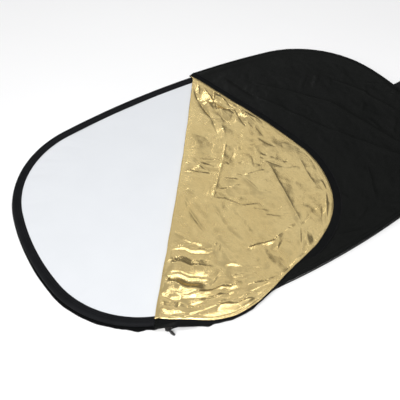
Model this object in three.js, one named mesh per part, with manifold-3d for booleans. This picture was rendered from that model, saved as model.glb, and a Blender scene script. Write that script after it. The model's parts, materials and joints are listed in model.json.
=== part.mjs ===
// An oval collapsible reflector, nominally 600 x 900 mm, lying flat. A translucent panel on a
// spring-steel hoop lies inside a zipped reversible cover. The cover's top layer is unzipped round
// the left end and folded back over itself along an oblique straight crease.
//
// Millimetres, +Z up, +X along the oval's long axis towards the hanging loop, +Y across it.
// The origin is the oval's centre, on the surface that the reflector lies on.
import * as THREE from "three";
import { mergeVertices } from "three/addons/utils/BufferGeometryUtils.js";
import Module from "manifold-3d";

const wasm = await Module();
wasm.setup();

const DEG = Math.PI / 180;
const FULL_TURN = 2 * Math.PI;
const GAP = 0.3; // between neighbouring pieces
const WELD = 1e-4; // vertices closer than this are one
const SAME_ANGLE = 1e-6;

// Cover outline in plan: end, corner and side arcs that are tangent to each other.
const HALF_LENGTH = 465;
const HALF_WIDTH = 300;
const END_RADIUS = 527;
const CORNER_RADIUS = 223;
const SIDE_RADIUS = 1673;

// Places round the outline, as the direction of its outward normal.
const OPEN_START = 88.1 * DEG; // beside the crease, on the far side
const OPEN_END = 246.4 * DEG; // beside the crease, on the near side
const CLOSED_START = 251.6 * DEG; // where the closed chain leaves the slider
const SLIDER_ANGLE = 253 * DEG;
const CLOSED_END = 300 * DEG;
const SEWN_START = 301 * DEG;
const SEWN_TO_OPEN = 1.2 * DEG; // from the seam's end to the open zip
const SEWN_END = OPEN_START + FULL_TURN - SEWN_TO_OPEN;

// Largest steps round each arc, and the finer one where the slider runs.
const END_STEP = 2.5 * DEG;
const CORNER_STEP = 7.5 * DEG;
const SIDE_STEP = 2.6 * DEG;
const SLIDER_STEP = 1.7 * DEG;
const SLIDER_FROM = 250.5 * DEG;
const SLIDER_TO = 264 * DEG;

// Heights.
const PLY = 0.5; // one layer of cover fabric
const LAYER = PLY + GAP;
const HOOP_HALF_HEIGHT = 4.6;
const HOOP_Z = 2 * LAYER + HOOP_HALF_HEIGHT;
const TOP_GOLD_Z = HOOP_Z + HOOP_HALF_HEIGHT + GAP;
const TOP_BLACK_Z = TOP_GOLD_Z + LAYER;
const FOLD_Z = TOP_BLACK_Z + LAYER; // the crease's axis
const COVER_TOP = TOP_BLACK_Z + PLY;

// The crease, in plan: where it leaves the gold lining on the near and on the far side.
const FOLD_NEAR = new THREE.Vector3(-314, -250, FOLD_Z);
const FOLD_FAR = new THREE.Vector3(67, 281, FOLD_Z);
const FOLD_ROLL_RADIUS = 1.6;
const FOLD_CLEAR = FOLD_ROLL_RADIUS + GAP;
const FOLD_SIDES = 12;
const FLAP_TURN = Math.PI; // folded fully back

// Insets from the cover outline.
const HOOP_INSET = 9;
const COVER_PLY_INSET = 1.2;
const FLAP_PLY_INSET = 24;
const FLAP_TAPE_INSET = 7;
const FLAP_COIL_INSET = 5.4;
const REAR_PLY_INSET = 22;
const REAR_TAPE_INSET = 5;
const REAR_COIL_INSET = 3.2;

// Hooped panel, measured inwards from the hoop's outer edge.
const BINDING_WALL = 1;
const BINDING_SHOULDER = 5;
const BINDING_POCKET = 6;
const BINDING_WIDTH = 18;
const BINDING_LIP = 1.6;
const POCKET_HALF_HEIGHT = 4;
const PANEL_HALF_PLY = 0.3;
const PANEL_EDGE = 7;
const PANEL_CLEAR = 0.4; // between the panel and the binding's slot
const BAND_INNER = 4;
const BAND_OUTER = 3;
const BAND_HALF_HEIGHT = 3;
const BAND_JOIN_ANGLE = 90 * DEG;
const BAND_END_ANGLE = 0.04 * DEG; // from the join to each end of the strip
const SLEEVE_HALF_ANGLE = 0.8 * DEG;
const SLEEVE_WALL = 0.4;
const SLEEVE_SEAM = 0.3;
const RIVET_RADIUS = 0.9;
const RIVET_HEAD_RADIUS = 1.6;
const RIVET_HEAD = 0.35;
const RIVET_HOLE_RADIUS = RIVET_RADIUS + GAP;
const RIVET_SPACING = 20;
const RIVET_SIDES = 12;
const STRIP_HOLE_REACH = 1; // how far a hole's cutter runs past the strip on each side
const SLEEVE_HOLE_REACH = 1.5;

// Side wall of the closed cover.
const TAPE_THICKNESS = 0.7; // of the open zip, lying flat
const COIL_THICKNESS = 1.5;
const TAPE_INNER = -0.9;
const TAPE_OUTER = -0.3;
const TAPE_BOTTOM = 0.3;
const TAPE_TO_CHAIN = 2; // from the middle of the zip to each tape's edge
const COIL_INNER = -1.4;
const COIL_OUTER = 0.2;
const COIL_FAR = 1.7;
const COIL_NEAR = 0.7;
const SEAM_OUTER = 0.1;
const STOP_HALF_WIDTH = 2.6;
const STOP_ANGLE = 0.9 * DEG;
const STOP_OUTER = 1;

// Slider and pull tab, in the slider's own axes: x outwards, y along the zip, z up.
const SLIDER_HALF_LENGTH = 5.5;
const SLIDER_HALF_WIDTH = 4.2;
const SLIDER_PLATE = 1;
const CHANNEL_INNER = -1.9;
const CHANNEL_OUTER = 0.7;
const CHANNEL_HALF_WIDTH = 3.2;
const FLANGE = 0.6;
const WEDGE_LENGTH = 2;
const WEDGE_HALF_THICKNESS = 0.4;
const CROWN_HEIGHT = 2.5;
const CROWN_WALL = 1;
const CROWN_HALF_LENGTH = 3.8;
const CROWN_HALF_WIDTH = 1.2;
const TAB_PIVOT_X = CHANNEL_OUTER + SLIDER_PLATE + CROWN_HEIGHT / 2;
const TAB_BAR_RADIUS = 0.75;
const TAB_HALF_WIDTH = 3.4;
const TAB_ARM_INNER = 2;
const TAB_ARM_HALF_THICKNESS = 0.6;
const TAB_GRIP_HALF_THICKNESS = 2;
const TAB_TIP_HALF_THICKNESS = 1.2;
const TAB_ARM_LENGTH = 7;
const TAB_ARM_OVERLAP = 1; // of each arm with the blade
const TAB_LENGTH = 15;
const TAB_TIP_HALF_WIDTH = 2.2;
const TAB_REST_TURN = 35 * DEG;

// Hanging loop at the far tip: one strip of webbing doubled into a drop-shaped eye.
const LOOP_Y = 12;
const LOOP_WIDTH = 25;
const LOOP_ROOT_X = HALF_LENGTH + 2.5;
const LOOP_LENGTH = 42;
const LOOP_HALF_HEIGHT = 4.4;
const LOOP_EYE_START = 7; // from the root to the point of the eye
const LOOP_CURVE_STEPS = 8;
const WEBBING = 1.2;
const ANCHOR_HALF_HEIGHT = 1.5;

// Colours with roughness and metalness.
const FINISHES = {
  black: [0x1d2022, 0.75, 0],
  blackGloss: [0x232628, 0.5, 0],
  gold: [0xcfae72, 0.22, 1],
  silver: [0xc4c7ca, 0.3, 1],
  white: [0xeeeeec, 0.85, 0],
  diffuser: [0xf1f3f6, 0.7, 0],
  tape: [0x18191b, 0.85, 0],
  steel: [0x9a9ea3, 0.35, 1],
  brass: [0xb08d4c, 0.4, 1],
  sliderMetal: [0x2b2c2e, 0.4, 0.8],
};

const END_CENTRE = new THREE.Vector2(HALF_LENGTH - END_RADIUS, 0);
const SIDE_CENTRE = new THREE.Vector2(0, HALF_WIDTH - SIDE_RADIUS);
const CORNER_CENTRE = cornerCentre();
const END_ANGLE = CORNER_CENTRE.clone().sub(END_CENTRE).angle();
const SIDE_ANGLE = CORNER_CENTRE.clone().sub(SIDE_CENTRE).angle();
const GRID = outlineGrid();
const FOLD_DIRECTION = FOLD_FAR.clone().sub(FOLD_NEAR).normalize();

/** The centre of the corner arc that touches the end arc and the side arc from inside. */
function cornerCentre() {
  const toEnd = END_RADIUS - CORNER_RADIUS;
  const toSide = SIDE_RADIUS - CORNER_RADIUS;
  const line = SIDE_CENTRE.clone().sub(END_CENTRE);
  const apart = line.length();
  line.normalize();
  const along = (apart ** 2 + toEnd ** 2 - toSide ** 2) / (2 * apart);
  const across = Math.sqrt(toEnd ** 2 - along ** 2);
  return new THREE.Vector2(
    END_CENTRE.x + line.x * along - line.y * across,
    END_CENTRE.y + line.y * along + line.x * across,
  );
}

/** The arc whose outward normal points at the angle, as its centre and radius. */
function arcAt(angle) {
  const right = Math.sign(Math.cos(angle)) || 1;
  const up = Math.sign(Math.sin(angle)) || 1;
  const folded = Math.atan2(Math.abs(Math.sin(angle)), Math.abs(Math.cos(angle)));
  if (folded < END_ANGLE) return { x: right * END_CENTRE.x, y: 0, radius: END_RADIUS };
  if (folded > SIDE_ANGLE) return { x: 0, y: up * SIDE_CENTRE.y, radius: SIDE_RADIUS };
  return { x: right * CORNER_CENTRE.x, y: up * CORNER_CENTRE.y, radius: CORNER_RADIUS };
}

/** The exact point of the outline with that normal direction, moved outwards by offset. */
function arcPoint(angle, offset) {
  const arc = arcAt(angle);
  const reach = arc.radius + offset;
  return new THREE.Vector2(
    arc.x + reach * Math.cos(angle),
    arc.y + reach * Math.sin(angle),
  );
}

/** The angles, over one turn, where every piece that follows the outline has its corners. */
function outlineGrid() {
  const stops = [0, SLIDER_FROM, SLIDER_TO, FULL_TURN];
  for (const half of [0, Math.PI, FULL_TURN]) {
    for (const side of [-SIDE_ANGLE, -END_ANGLE, END_ANGLE, SIDE_ANGLE]) {
      const joint = half + side;
      if (joint > 0 && joint < FULL_TURN) stops.push(joint);
    }
  }
  stops.sort((a, b) => a - b);
  const steps = { [END_RADIUS]: END_STEP, [CORNER_RADIUS]: CORNER_STEP, [SIDE_RADIUS]: SIDE_STEP };
  const grid = [0];
  for (let i = 1; i < stops.length; i += 1) {
    const span = stops[i] - stops[i - 1];
    const middle = (stops[i] + stops[i - 1]) / 2;
    const fine = middle > SLIDER_FROM && middle < SLIDER_TO;
    const count = Math.ceil(span / (fine ? SLIDER_STEP : steps[arcAt(middle).radius]));
    for (let k = 1; k <= count; k += 1) grid.push(stops[i - 1] + (span * k) / count);
  }
  return grid;
}

/** The outline's point at an angle, moved outwards by offset, on the flats between the grid's corners. */
function rimPoint(angle, offset) {
  const turned = ((angle % FULL_TURN) + FULL_TURN) % FULL_TURN;
  const next = Math.max(1, GRID.findIndex((corner) => corner >= turned - SAME_ANGLE));
  const share = (turned - GRID[next - 1]) / (GRID[next] - GRID[next - 1]);
  return arcPoint(GRID[next - 1], offset).lerp(arcPoint(GRID[next], offset), share);
}

/** Angles from one place on the outline to another, with every grid corner between them. */
function rimAngles(from, to) {
  const between = [];
  for (const turns of [0, FULL_TURN]) {
    for (const corner of GRID.slice(1)) {
      const here = corner + turns;
      if (here > from + SAME_ANGLE && here < to - SAME_ANGLE) between.push(here);
    }
  }
  return [from, ...between, to];
}

/** The outline's points over a stretch, moved outwards by offset. */
function rimPoints(from, to, offset) {
  return rimAngles(from, to).map((angle) => rimPoint(angle, offset));
}

/** The whole outline moved outwards by offset, as a closed polygon. */
function ovalPoints(offset) {
  return rimPoints(0, FULL_TURN, offset).slice(0, -1);
}

/** A polygon's part on one side of the crease, at least clear away from it. */
function beyondFold(points, side, clear) {
  const across = (p) =>
    side * ((p.x - FOLD_NEAR.x) * FOLD_DIRECTION.y - (p.y - FOLD_NEAR.y) * FOLD_DIRECTION.x) - clear;
  const kept = [];
  points.forEach((p, i) => {
    const next = points[(i + 1) % points.length];
    const here = across(p);
    const there = across(next);
    if (here >= 0) kept.push(p);
    if (here * there < 0) kept.push(p.clone().lerp(next, here / (here - there)));
  });
  return kept;
}

/** A flat plate of the given plan between two heights. */
function plate(points, bottom, top) {
  const geometry = new THREE.ExtrudeGeometry(new THREE.Shape(points), {
    depth: top - bottom,
    bevelEnabled: false,
  });
  return geometry.translate(0, 0, bottom);
}

/** A profile of [offset, z] points carried along a stretch of the outline, or all round it. */
function sweep(profile, angles, allRound = false) {
  const outline = profile.map(([offset, z]) => new THREE.Vector2(offset, z));
  if (THREE.ShapeUtils.isClockWise(outline)) outline.reverse();
  const rings = allRound ? angles.slice(0, -1) : angles;
  const positions = [];
  for (const angle of rings) {
    for (const p of outline) {
      const at = rimPoint(angle, p.x);
      positions.push(at.x, at.y, p.y);
    }
  }
  const size = outline.length;
  const faces = [];
  const sections = allRound ? rings.length : rings.length - 1;
  for (let i = 0; i < sections; i += 1) {
    const here = i * size;
    const there = ((i + 1) % rings.length) * size;
    for (let j = 0; j < size; j += 1) {
      const k = (j + 1) % size;
      faces.push(here + j, there + j, there + k, here + j, there + k, here + k);
    }
  }
  if (!allRound) {
    const last = (rings.length - 1) * size;
    for (const [a, b, c] of THREE.ShapeUtils.triangulateShape(outline, [])) {
      faces.push(a, b, c, last + c, last + b, last + a);
    }
  }
  const geometry = new THREE.BufferGeometry();
  geometry.setAttribute("position", new THREE.Float32BufferAttribute(positions, 3));
  geometry.setIndex(faces);
  geometry.computeVertexNormals();
  return geometry;
}

/** A rectangle's corners, for sweep. */
function strip(inner, outer, bottom, top) {
  return [[inner, bottom], [outer, bottom], [outer, top], [inner, top]];
}

/** A box between two corners. */
function block(low, high) {
  const size = high.map((value, axis) => value - low[axis]);
  const middle = high.map((value, axis) => (value + low[axis]) / 2);
  return new THREE.BoxGeometry(...size).translate(...middle);
}

/** A closed geometry as a solid for joining and cutting. */
function solidOf(geometry) {
  const bare = geometry.clone();
  bare.deleteAttribute("normal");
  bare.deleteAttribute("uv");
  const merged = mergeVertices(bare, WELD);
  return new wasm.Manifold(
    new wasm.Mesh({
      numProp: 3,
      vertProperties: new Float32Array(merged.attributes.position.array),
      triVerts: new Uint32Array(merged.index.array),
    }),
  );
}

/** A solid's surface as a geometry again. */
function geometryOf(solid) {
  const mesh = solid.getMesh();
  const geometry = new THREE.BufferGeometry();
  geometry.setAttribute("position", new THREE.Float32BufferAttribute(mesh.vertProperties, 3));
  geometry.setIndex(new THREE.Uint32BufferAttribute(mesh.triVerts, 1));
  geometry.computeVertexNormals();
  return geometry;
}

function join(...geometries) {
  return geometryOf(geometries.map(solidOf).reduce((whole, next) => whole.add(next)));
}

function cut(geometry, ...tools) {
  return geometryOf(tools.map(solidOf).reduce((left, tool) => left.subtract(tool), solidOf(geometry)));
}

/** A named piece with its own material. */
function piece(name, finish, geometry) {
  const [color, roughness, metalness] = FINISHES[finish];
  const mesh = new THREE.Mesh(geometry, new THREE.MeshStandardMaterial({ color, roughness, metalness }));
  mesh.name = name;
  return mesh;
}

// ---- the hooped panel ----

/** A round rod across the band's join, pointing outwards, between two depths in from the hoop's edge. */
function rivetRod(radius, x, outer, inner) {
  const edge = rimPoint(BAND_JOIN_ANGLE, -HOOP_INSET).y;
  return new THREE.CylinderGeometry(radius, radius, inner - outer, RIVET_SIDES)
    .translate(x, edge - (outer + inner) / 2, HOOP_Z);
}

/** Cutters for the two rivets' holes, running past the strip by reach on each side. */
function rivetHoles(reach) {
  return [-1, 1].map((side) =>
    rivetRod(RIVET_HOLE_RADIUS, (side * RIVET_SPACING) / 2, BAND_OUTER - reach, BAND_INNER + reach),
  );
}

/** The hoop's flat steel strip, its two ends met inside a sleeve. */
function springBand() {
  const profile = strip(
    -HOOP_INSET - BAND_INNER,
    -HOOP_INSET - BAND_OUTER,
    HOOP_Z - BAND_HALF_HEIGHT,
    HOOP_Z + BAND_HALF_HEIGHT,
  );
  const start = BAND_JOIN_ANGLE + BAND_END_ANGLE;
  const round = sweep(profile, rimAngles(start, start + FULL_TURN - 2 * BAND_END_ANGLE));
  const holes = rivetHoles(STRIP_HOLE_REACH);
  return piece("spring_band", "steel", cut(round, ...holes));
}

/** The folded sleeve that holds the strip's ends, with its seam on the inner side. */
function bandSleeve() {
  const innerSide = BAND_INNER + GAP;
  const outerSide = BAND_OUTER - GAP;
  const half = BAND_HALF_HEIGHT + GAP;
  const at = (depth, z) => [-HOOP_INSET - depth, HOOP_Z + z];
  const profile = [
    at(innerSide + SLEEVE_WALL, SLEEVE_SEAM),
    at(innerSide + SLEEVE_WALL, half + SLEEVE_WALL),
    at(outerSide - SLEEVE_WALL, half + SLEEVE_WALL),
    at(outerSide - SLEEVE_WALL, -half - SLEEVE_WALL),
    at(innerSide + SLEEVE_WALL, -half - SLEEVE_WALL),
    at(innerSide + SLEEVE_WALL, -SLEEVE_SEAM),
    at(innerSide, -SLEEVE_SEAM),
    at(innerSide, -half),
    at(outerSide, -half),
    at(outerSide, half),
    at(innerSide, half),
    at(innerSide, SLEEVE_SEAM),
  ];
  const angles = rimAngles(BAND_JOIN_ANGLE - SLEEVE_HALF_ANGLE, BAND_JOIN_ANGLE + SLEEVE_HALF_ANGLE);
  const holes = rivetHoles(SLEEVE_HOLE_REACH);
  return piece("band_sleeve", "brass", cut(sweep(profile, angles), ...holes));
}

/** One rivet through the sleeve and the strip. */
function bandRivet(name, side) {
  const x = (side * RIVET_SPACING) / 2;
  const outer = BAND_OUTER - GAP - SLEEVE_WALL - GAP;
  const inner = BAND_INNER + GAP + SLEEVE_WALL + GAP;
  return piece(
    name,
    "steel",
    join(
      rivetRod(RIVET_RADIUS, x, outer - RIVET_HEAD / 2, inner + RIVET_HEAD / 2),
      rivetRod(RIVET_HEAD_RADIUS, x, outer - RIVET_HEAD, outer),
      rivetRod(RIVET_HEAD_RADIUS, x, inner, inner + RIVET_HEAD),
    ),
  );
}

/** The fabric channel round the hoop, open inwards where the panel's edge enters it. */
function rimBinding() {
  const slot = PANEL_HALF_PLY + PANEL_CLEAR;
  const upper = [
    [BINDING_WIDTH, slot],
    [BINDING_WIDTH, BINDING_LIP],
    [BINDING_SHOULDER, HOOP_HALF_HEIGHT],
    [0, HOOP_HALF_HEIGHT],
  ];
  const pocket = [
    [BINDING_POCKET, -slot],
    [BINDING_POCKET, -POCKET_HALF_HEIGHT],
    [BINDING_WALL, -POCKET_HALF_HEIGHT],
    [BINDING_WALL, POCKET_HALF_HEIGHT],
    [BINDING_POCKET, POCKET_HALF_HEIGHT],
    [BINDING_POCKET, slot],
  ];
  const lower = upper.map(([depth, z]) => [depth, -z]).reverse();
  const profile = [...upper, ...lower, ...pocket].map(([depth, z]) => [-HOOP_INSET - depth, HOOP_Z + z]);
  return piece("rim_binding", "black", sweep(profile, rimAngles(0, FULL_TURN), true));
}

function diffuserPanel() {
  const edge = ovalPoints(-HOOP_INSET - PANEL_EDGE);
  return piece("diffuser_panel", "diffuser", plate(edge, HOOP_Z - PANEL_HALF_PLY, HOOP_Z + PANEL_HALF_PLY));
}

// ---- the cover ----

/** The rear layer's plan: full size where the cover is closed, drawn in under the hoop where open. */
function rearPoints() {
  return [
    ...rimPoints(OPEN_START, CLOSED_START, -REAR_PLY_INSET),
    ...rimPoints(CLOSED_START, SEWN_END, -COVER_PLY_INSET),
  ];
}

function rearPly(name, finish, bottom) {
  return piece(name, finish, plate(rearPoints(), bottom, bottom + PLY));
}

/** A ply of the top layer that stays in place, to the right of the crease. */
function topPly(name, finish, bottom) {
  const plan = beyondFold(ovalPoints(-COVER_PLY_INSET), 1, FOLD_CLEAR);
  return piece(name, finish, plate(plan, bottom, bottom + PLY));
}

/** A ply of the flap, as it lies when the cover is closed. */
function flapPly(name, finish, bottom) {
  const plan = beyondFold(ovalPoints(-FLAP_PLY_INSET), -1, FOLD_CLEAR);
  return piece(name, finish, plate(plan, bottom, bottom + PLY));
}

/** The rounded bend of the two plies along the crease. */
function foldRoll() {
  const length = FOLD_NEAR.distanceTo(FOLD_FAR);
  const rod = new THREE.CylinderGeometry(FOLD_ROLL_RADIUS, FOLD_ROLL_RADIUS, length, FOLD_SIDES);
  const mesh = piece("fold_roll", "gold", rod);
  mesh.position.copy(FOLD_NEAR).lerp(FOLD_FAR, 0.5);
  mesh.quaternion.setFromUnitVectors(new THREE.Vector3(0, 1, 0), FOLD_DIRECTION);
  return mesh;
}

/** The sewn side of the cover, from the zip's closed end round the far tip to its open end. */
function seamEdge() {
  const profile = strip(TAPE_INNER, SEAM_OUTER, TAPE_BOTTOM, COVER_TOP);
  return piece("seam_edge", "black", sweep(profile, rimAngles(SEWN_START, SEWN_END)));
}

// ---- the zip ----

const openAngles = rimAngles(OPEN_START, OPEN_END);
const closedAngles = rimAngles(CLOSED_START, CLOSED_END);

/** The rear layer's tape and coil where the zip is open, flat on the floor under the hoop's edge. */
function rearOpenZip() {
  const angles = rimAngles(OPEN_START, CLOSED_START - STOP_ANGLE);
  const tape = strip(-REAR_PLY_INSET + GAP, -REAR_TAPE_INSET - GAP, 0, TAPE_THICKNESS);
  const coil = strip(-REAR_TAPE_INSET, -REAR_COIL_INSET, 0, COIL_THICKNESS);
  return [
    piece("zip_tape_rear_open", "tape", sweep(tape, angles)),
    piece("zip_coil_rear_open", "blackGloss", sweep(coil, angles)),
  ];
}

/** The flap's tape and coil, as they lie when the cover is closed. */
function flapZip() {
  const tape = strip(-FLAP_PLY_INSET + GAP, -FLAP_TAPE_INSET, TOP_GOLD_Z, TOP_GOLD_Z + 2 * PLY);
  const coil = strip(-FLAP_TAPE_INSET + GAP, -FLAP_COIL_INSET, TOP_GOLD_Z, COVER_TOP);
  return [
    piece("zip_tape_flap", "tape", sweep(tape, openAngles)),
    piece("zip_coil_flap", "blackGloss", sweep(coil, openAngles)),
  ];
}

/** Both tapes and both coils along the closed near side, upright in the cover's side wall. */
function closedZip() {
  const lowerTape = strip(TAPE_INNER, TAPE_OUTER, TAPE_BOTTOM, HOOP_Z - TAPE_TO_CHAIN);
  const upperTape = strip(TAPE_INNER, TAPE_OUTER, HOOP_Z + TAPE_TO_CHAIN, COVER_TOP);
  const lowerCoil = strip(COIL_INNER, COIL_OUTER, HOOP_Z - COIL_FAR, HOOP_Z - COIL_NEAR);
  const upperCoil = strip(COIL_INNER, COIL_OUTER, HOOP_Z + COIL_NEAR, HOOP_Z + COIL_FAR);
  return [
    piece("zip_tape_rear_closed", "tape", sweep(lowerTape, closedAngles)),
    piece("zip_tape_top_closed", "tape", sweep(upperTape, closedAngles)),
    piece("zip_coil_rear_closed", "blackGloss", sweep(lowerCoil, closedAngles)),
    piece("zip_coil_top_closed", "blackGloss", sweep(upperCoil, closedAngles)),
  ];
}

/** A metal stop clamped on the side wall just inside the given stretch. */
function zipStop(name, from) {
  const profile = strip(
    SEAM_OUTER + GAP,
    SEAM_OUTER + GAP + STOP_OUTER,
    HOOP_Z - STOP_HALF_WIDTH,
    HOOP_Z + STOP_HALF_WIDTH,
  );
  return piece(name, "sliderMetal", sweep(profile, rimAngles(from, from + STOP_ANGLE)));
}

/** The slider's body: two plates with flanges, the wedge between them and the crown for the tab. */
function sliderBody() {
  const overlap = 0.05;
  const length = SLIDER_HALF_LENGTH;
  const width = SLIDER_HALF_WIDTH;
  const outerFace = CHANNEL_OUTER + SLIDER_PLATE;
  const crownTop = outerFace + CROWN_HEIGHT;
  const parts = [
    block([CHANNEL_INNER - SLIDER_PLATE, -length, -width], [CHANNEL_INNER, length, width]),
    block([CHANNEL_OUTER, -length, -width], [outerFace, length, width]),
    block(
      [CHANNEL_INNER - overlap, -length, -WEDGE_HALF_THICKNESS],
      [CHANNEL_OUTER + overlap, WEDGE_LENGTH - length, WEDGE_HALF_THICKNESS],
    ),
    block([crownTop, -CROWN_HALF_LENGTH, -CROWN_HALF_WIDTH],
      [crownTop + CROWN_WALL, CROWN_HALF_LENGTH, CROWN_HALF_WIDTH]),
  ];
  for (const side of [-1, 1]) {
    const [low, high] = [side * CHANNEL_HALF_WIDTH, side * width].sort((a, b) => a - b);
    parts.push(block([CHANNEL_INNER - overlap, -length, low], [CHANNEL_INNER + FLANGE, length, high]));
    parts.push(block([CHANNEL_OUTER - FLANGE, -length, low], [CHANNEL_OUTER + overlap, length, high]));
    const foot = [side * (CROWN_HALF_LENGTH - CROWN_WALL), side * CROWN_HALF_LENGTH].sort((a, b) => a - b);
    parts.push(block([outerFace - overlap, foot[0], -CROWN_HALF_WIDTH],
      [crownTop + overlap, foot[1], CROWN_HALF_WIDTH]));
  }
  return piece("slider_body", "sliderMetal", join(...parts));
}

/** The pull tab, its pivot bar at its own origin and its wedge-shaped grip along +X. */
function pullTab() {
  const thick = TAB_ARM_HALF_THICKNESS;
  const grip = TAB_GRIP_HALF_THICKNESS;
  const gripStart = TAB_ARM_LENGTH - TAB_ARM_OVERLAP;
  const bar = new THREE.CylinderGeometry(TAB_BAR_RADIUS, TAB_BAR_RADIUS, 2 * TAB_HALF_WIDTH, FOLD_SIDES)
    .rotateX(Math.PI / 2);
  const plan = new THREE.Shape();
  plan.moveTo(gripStart, -TAB_HALF_WIDTH);
  plan.lineTo(TAB_LENGTH - TAB_TIP_HALF_WIDTH, -TAB_TIP_HALF_WIDTH);
  plan.absarc(TAB_LENGTH - TAB_TIP_HALF_WIDTH, 0, TAB_TIP_HALF_WIDTH, -Math.PI / 2, Math.PI / 2, false);
  plan.lineTo(gripStart, TAB_HALF_WIDTH);
  const blade = new THREE.ExtrudeGeometry(plan, { depth: 2 * grip, bevelEnabled: false, curveSegments: 8 })
    .translate(0, 0, -grip)
    .rotateX(Math.PI / 2);
  const corners = blade.getAttribute("position");
  for (let i = 0; i < corners.count; i += 1) {
    const along = (corners.getX(i) - gripStart) / (TAB_LENGTH - gripStart);
    corners.setY(i, corners.getY(i) * THREE.MathUtils.lerp(1, TAB_TIP_HALF_THICKNESS / grip, along));
  }
  const arms = [-1, 1].map((side) => {
    const [low, high] = [side * TAB_ARM_INNER, side * TAB_HALF_WIDTH].sort((a, b) => a - b);
    return block([0, -thick, low], [TAB_ARM_LENGTH, thick, high]);
  });
  return piece("pull_tab", "sliderMetal", join(bar, blade, ...arms));
}

/** The slider on the closed chain, with the tab turned a little towards the closed side. */
function slider() {
  const carriage = new THREE.Group();
  const at = rimPoint(SLIDER_ANGLE, 0);
  carriage.position.set(at.x, at.y, HOOP_Z);
  carriage.rotation.z = SLIDER_ANGLE;
  const tab = pullTab();
  tab.position.x = TAB_PIVOT_X;
  tab.rotation.z = TAB_REST_TURN;
  carriage.add(sliderBody(), tab);
  return carriage;
}

// ---- the hanging loop ----

/** A drop-shaped outline in x and z, its point on the x axis at start. */
function dropOutline(start, length, halfHeight) {
  const round = length - halfHeight;
  const outline = new THREE.Path();
  outline.moveTo(start, 0);
  outline.bezierCurveTo(start + round / 3, -halfHeight / 3, round / 2, -halfHeight, round, -halfHeight);
  outline.absarc(round, 0, halfHeight, -Math.PI / 2, Math.PI / 2, false);
  outline.bezierCurveTo(round / 2, halfHeight, start + round / 3, halfHeight / 3, start, 0);
  return outline.getPoints(LOOP_CURVE_STEPS);
}

function hangingLoop() {
  const outline = new THREE.Shape(dropOutline(0, LOOP_LENGTH, LOOP_HALF_HEIGHT));
  const eye = dropOutline(LOOP_EYE_START, LOOP_LENGTH - WEBBING, LOOP_HALF_HEIGHT - WEBBING);
  outline.holes.push(new THREE.Path(eye));
  const geometry = new THREE.ExtrudeGeometry(outline, { depth: LOOP_WIDTH, bevelEnabled: false })
    .translate(0, 0, -LOOP_WIDTH / 2)
    .rotateX(Math.PI / 2);
  const mesh = piece("hanging_loop", "tape", geometry);
  mesh.position.set(LOOP_ROOT_X, LOOP_Y, HOOP_Z);
  return mesh;
}

/** The loop's sewn end, between the seam and the loop's root. */
function loopAnchor() {
  const half = LOOP_WIDTH / 2;
  return piece("loop_anchor", "tape", block(
    [HALF_LENGTH + SEAM_OUTER + GAP, LOOP_Y - half, HOOP_Z - ANCHOR_HALF_HEIGHT],
    [LOOP_ROOT_X - GAP, LOOP_Y + half, HOOP_Z + ANCHOR_HALF_HEIGHT],
  ));
}

// ---- the whole ----

/** The flap is built as it lies closed, then turned back about the crease. */
function flap() {
  const turned = new THREE.Group();
  turned.position.copy(FOLD_NEAR);
  turned.quaternion.setFromAxisAngle(FOLD_DIRECTION, FLAP_TURN);
  const closed = new THREE.Group();
  closed.position.copy(FOLD_NEAR).negate();
  closed.add(
    flapPly("flap_gold_ply", "gold", TOP_GOLD_Z),
    flapPly("flap_black_ply", "black", TOP_BLACK_Z),
    ...flapZip(),
  );
  turned.add(closed);
  return turned;
}

const reflector = new THREE.Group();
reflector.add(
  springBand(),
  bandSleeve(),
  bandRivet("band_rivet_1", -1),
  bandRivet("band_rivet_2", 1),
  rimBinding(),
  diffuserPanel(),
  rearPly("rear_outer_ply", "silver", 0),
  rearPly("rear_inner_ply", "white", LAYER),
  topPly("top_gold_ply", "gold", TOP_GOLD_Z),
  topPly("top_black_ply", "black", TOP_BLACK_Z),
  foldRoll(),
  seamEdge(),
  flap(),
  ...rearOpenZip(),
  ...closedZip(),
  zipStop("zip_start_stop", SEWN_END - STOP_ANGLE),
  zipStop("zip_end_stop", SEWN_START),
  slider(),
  hangingLoop(),
  loopAnchor(),
);

export default reflector;
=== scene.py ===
"""The looks of an oval collapsible reflector: cloth, foil, binding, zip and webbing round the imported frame.

Every length below is in millimetres until a mesh is made. A place along the cover's outline is the angle of
its outward normal, and an offset is measured outwards from the outline.
"""

import json
import math

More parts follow.
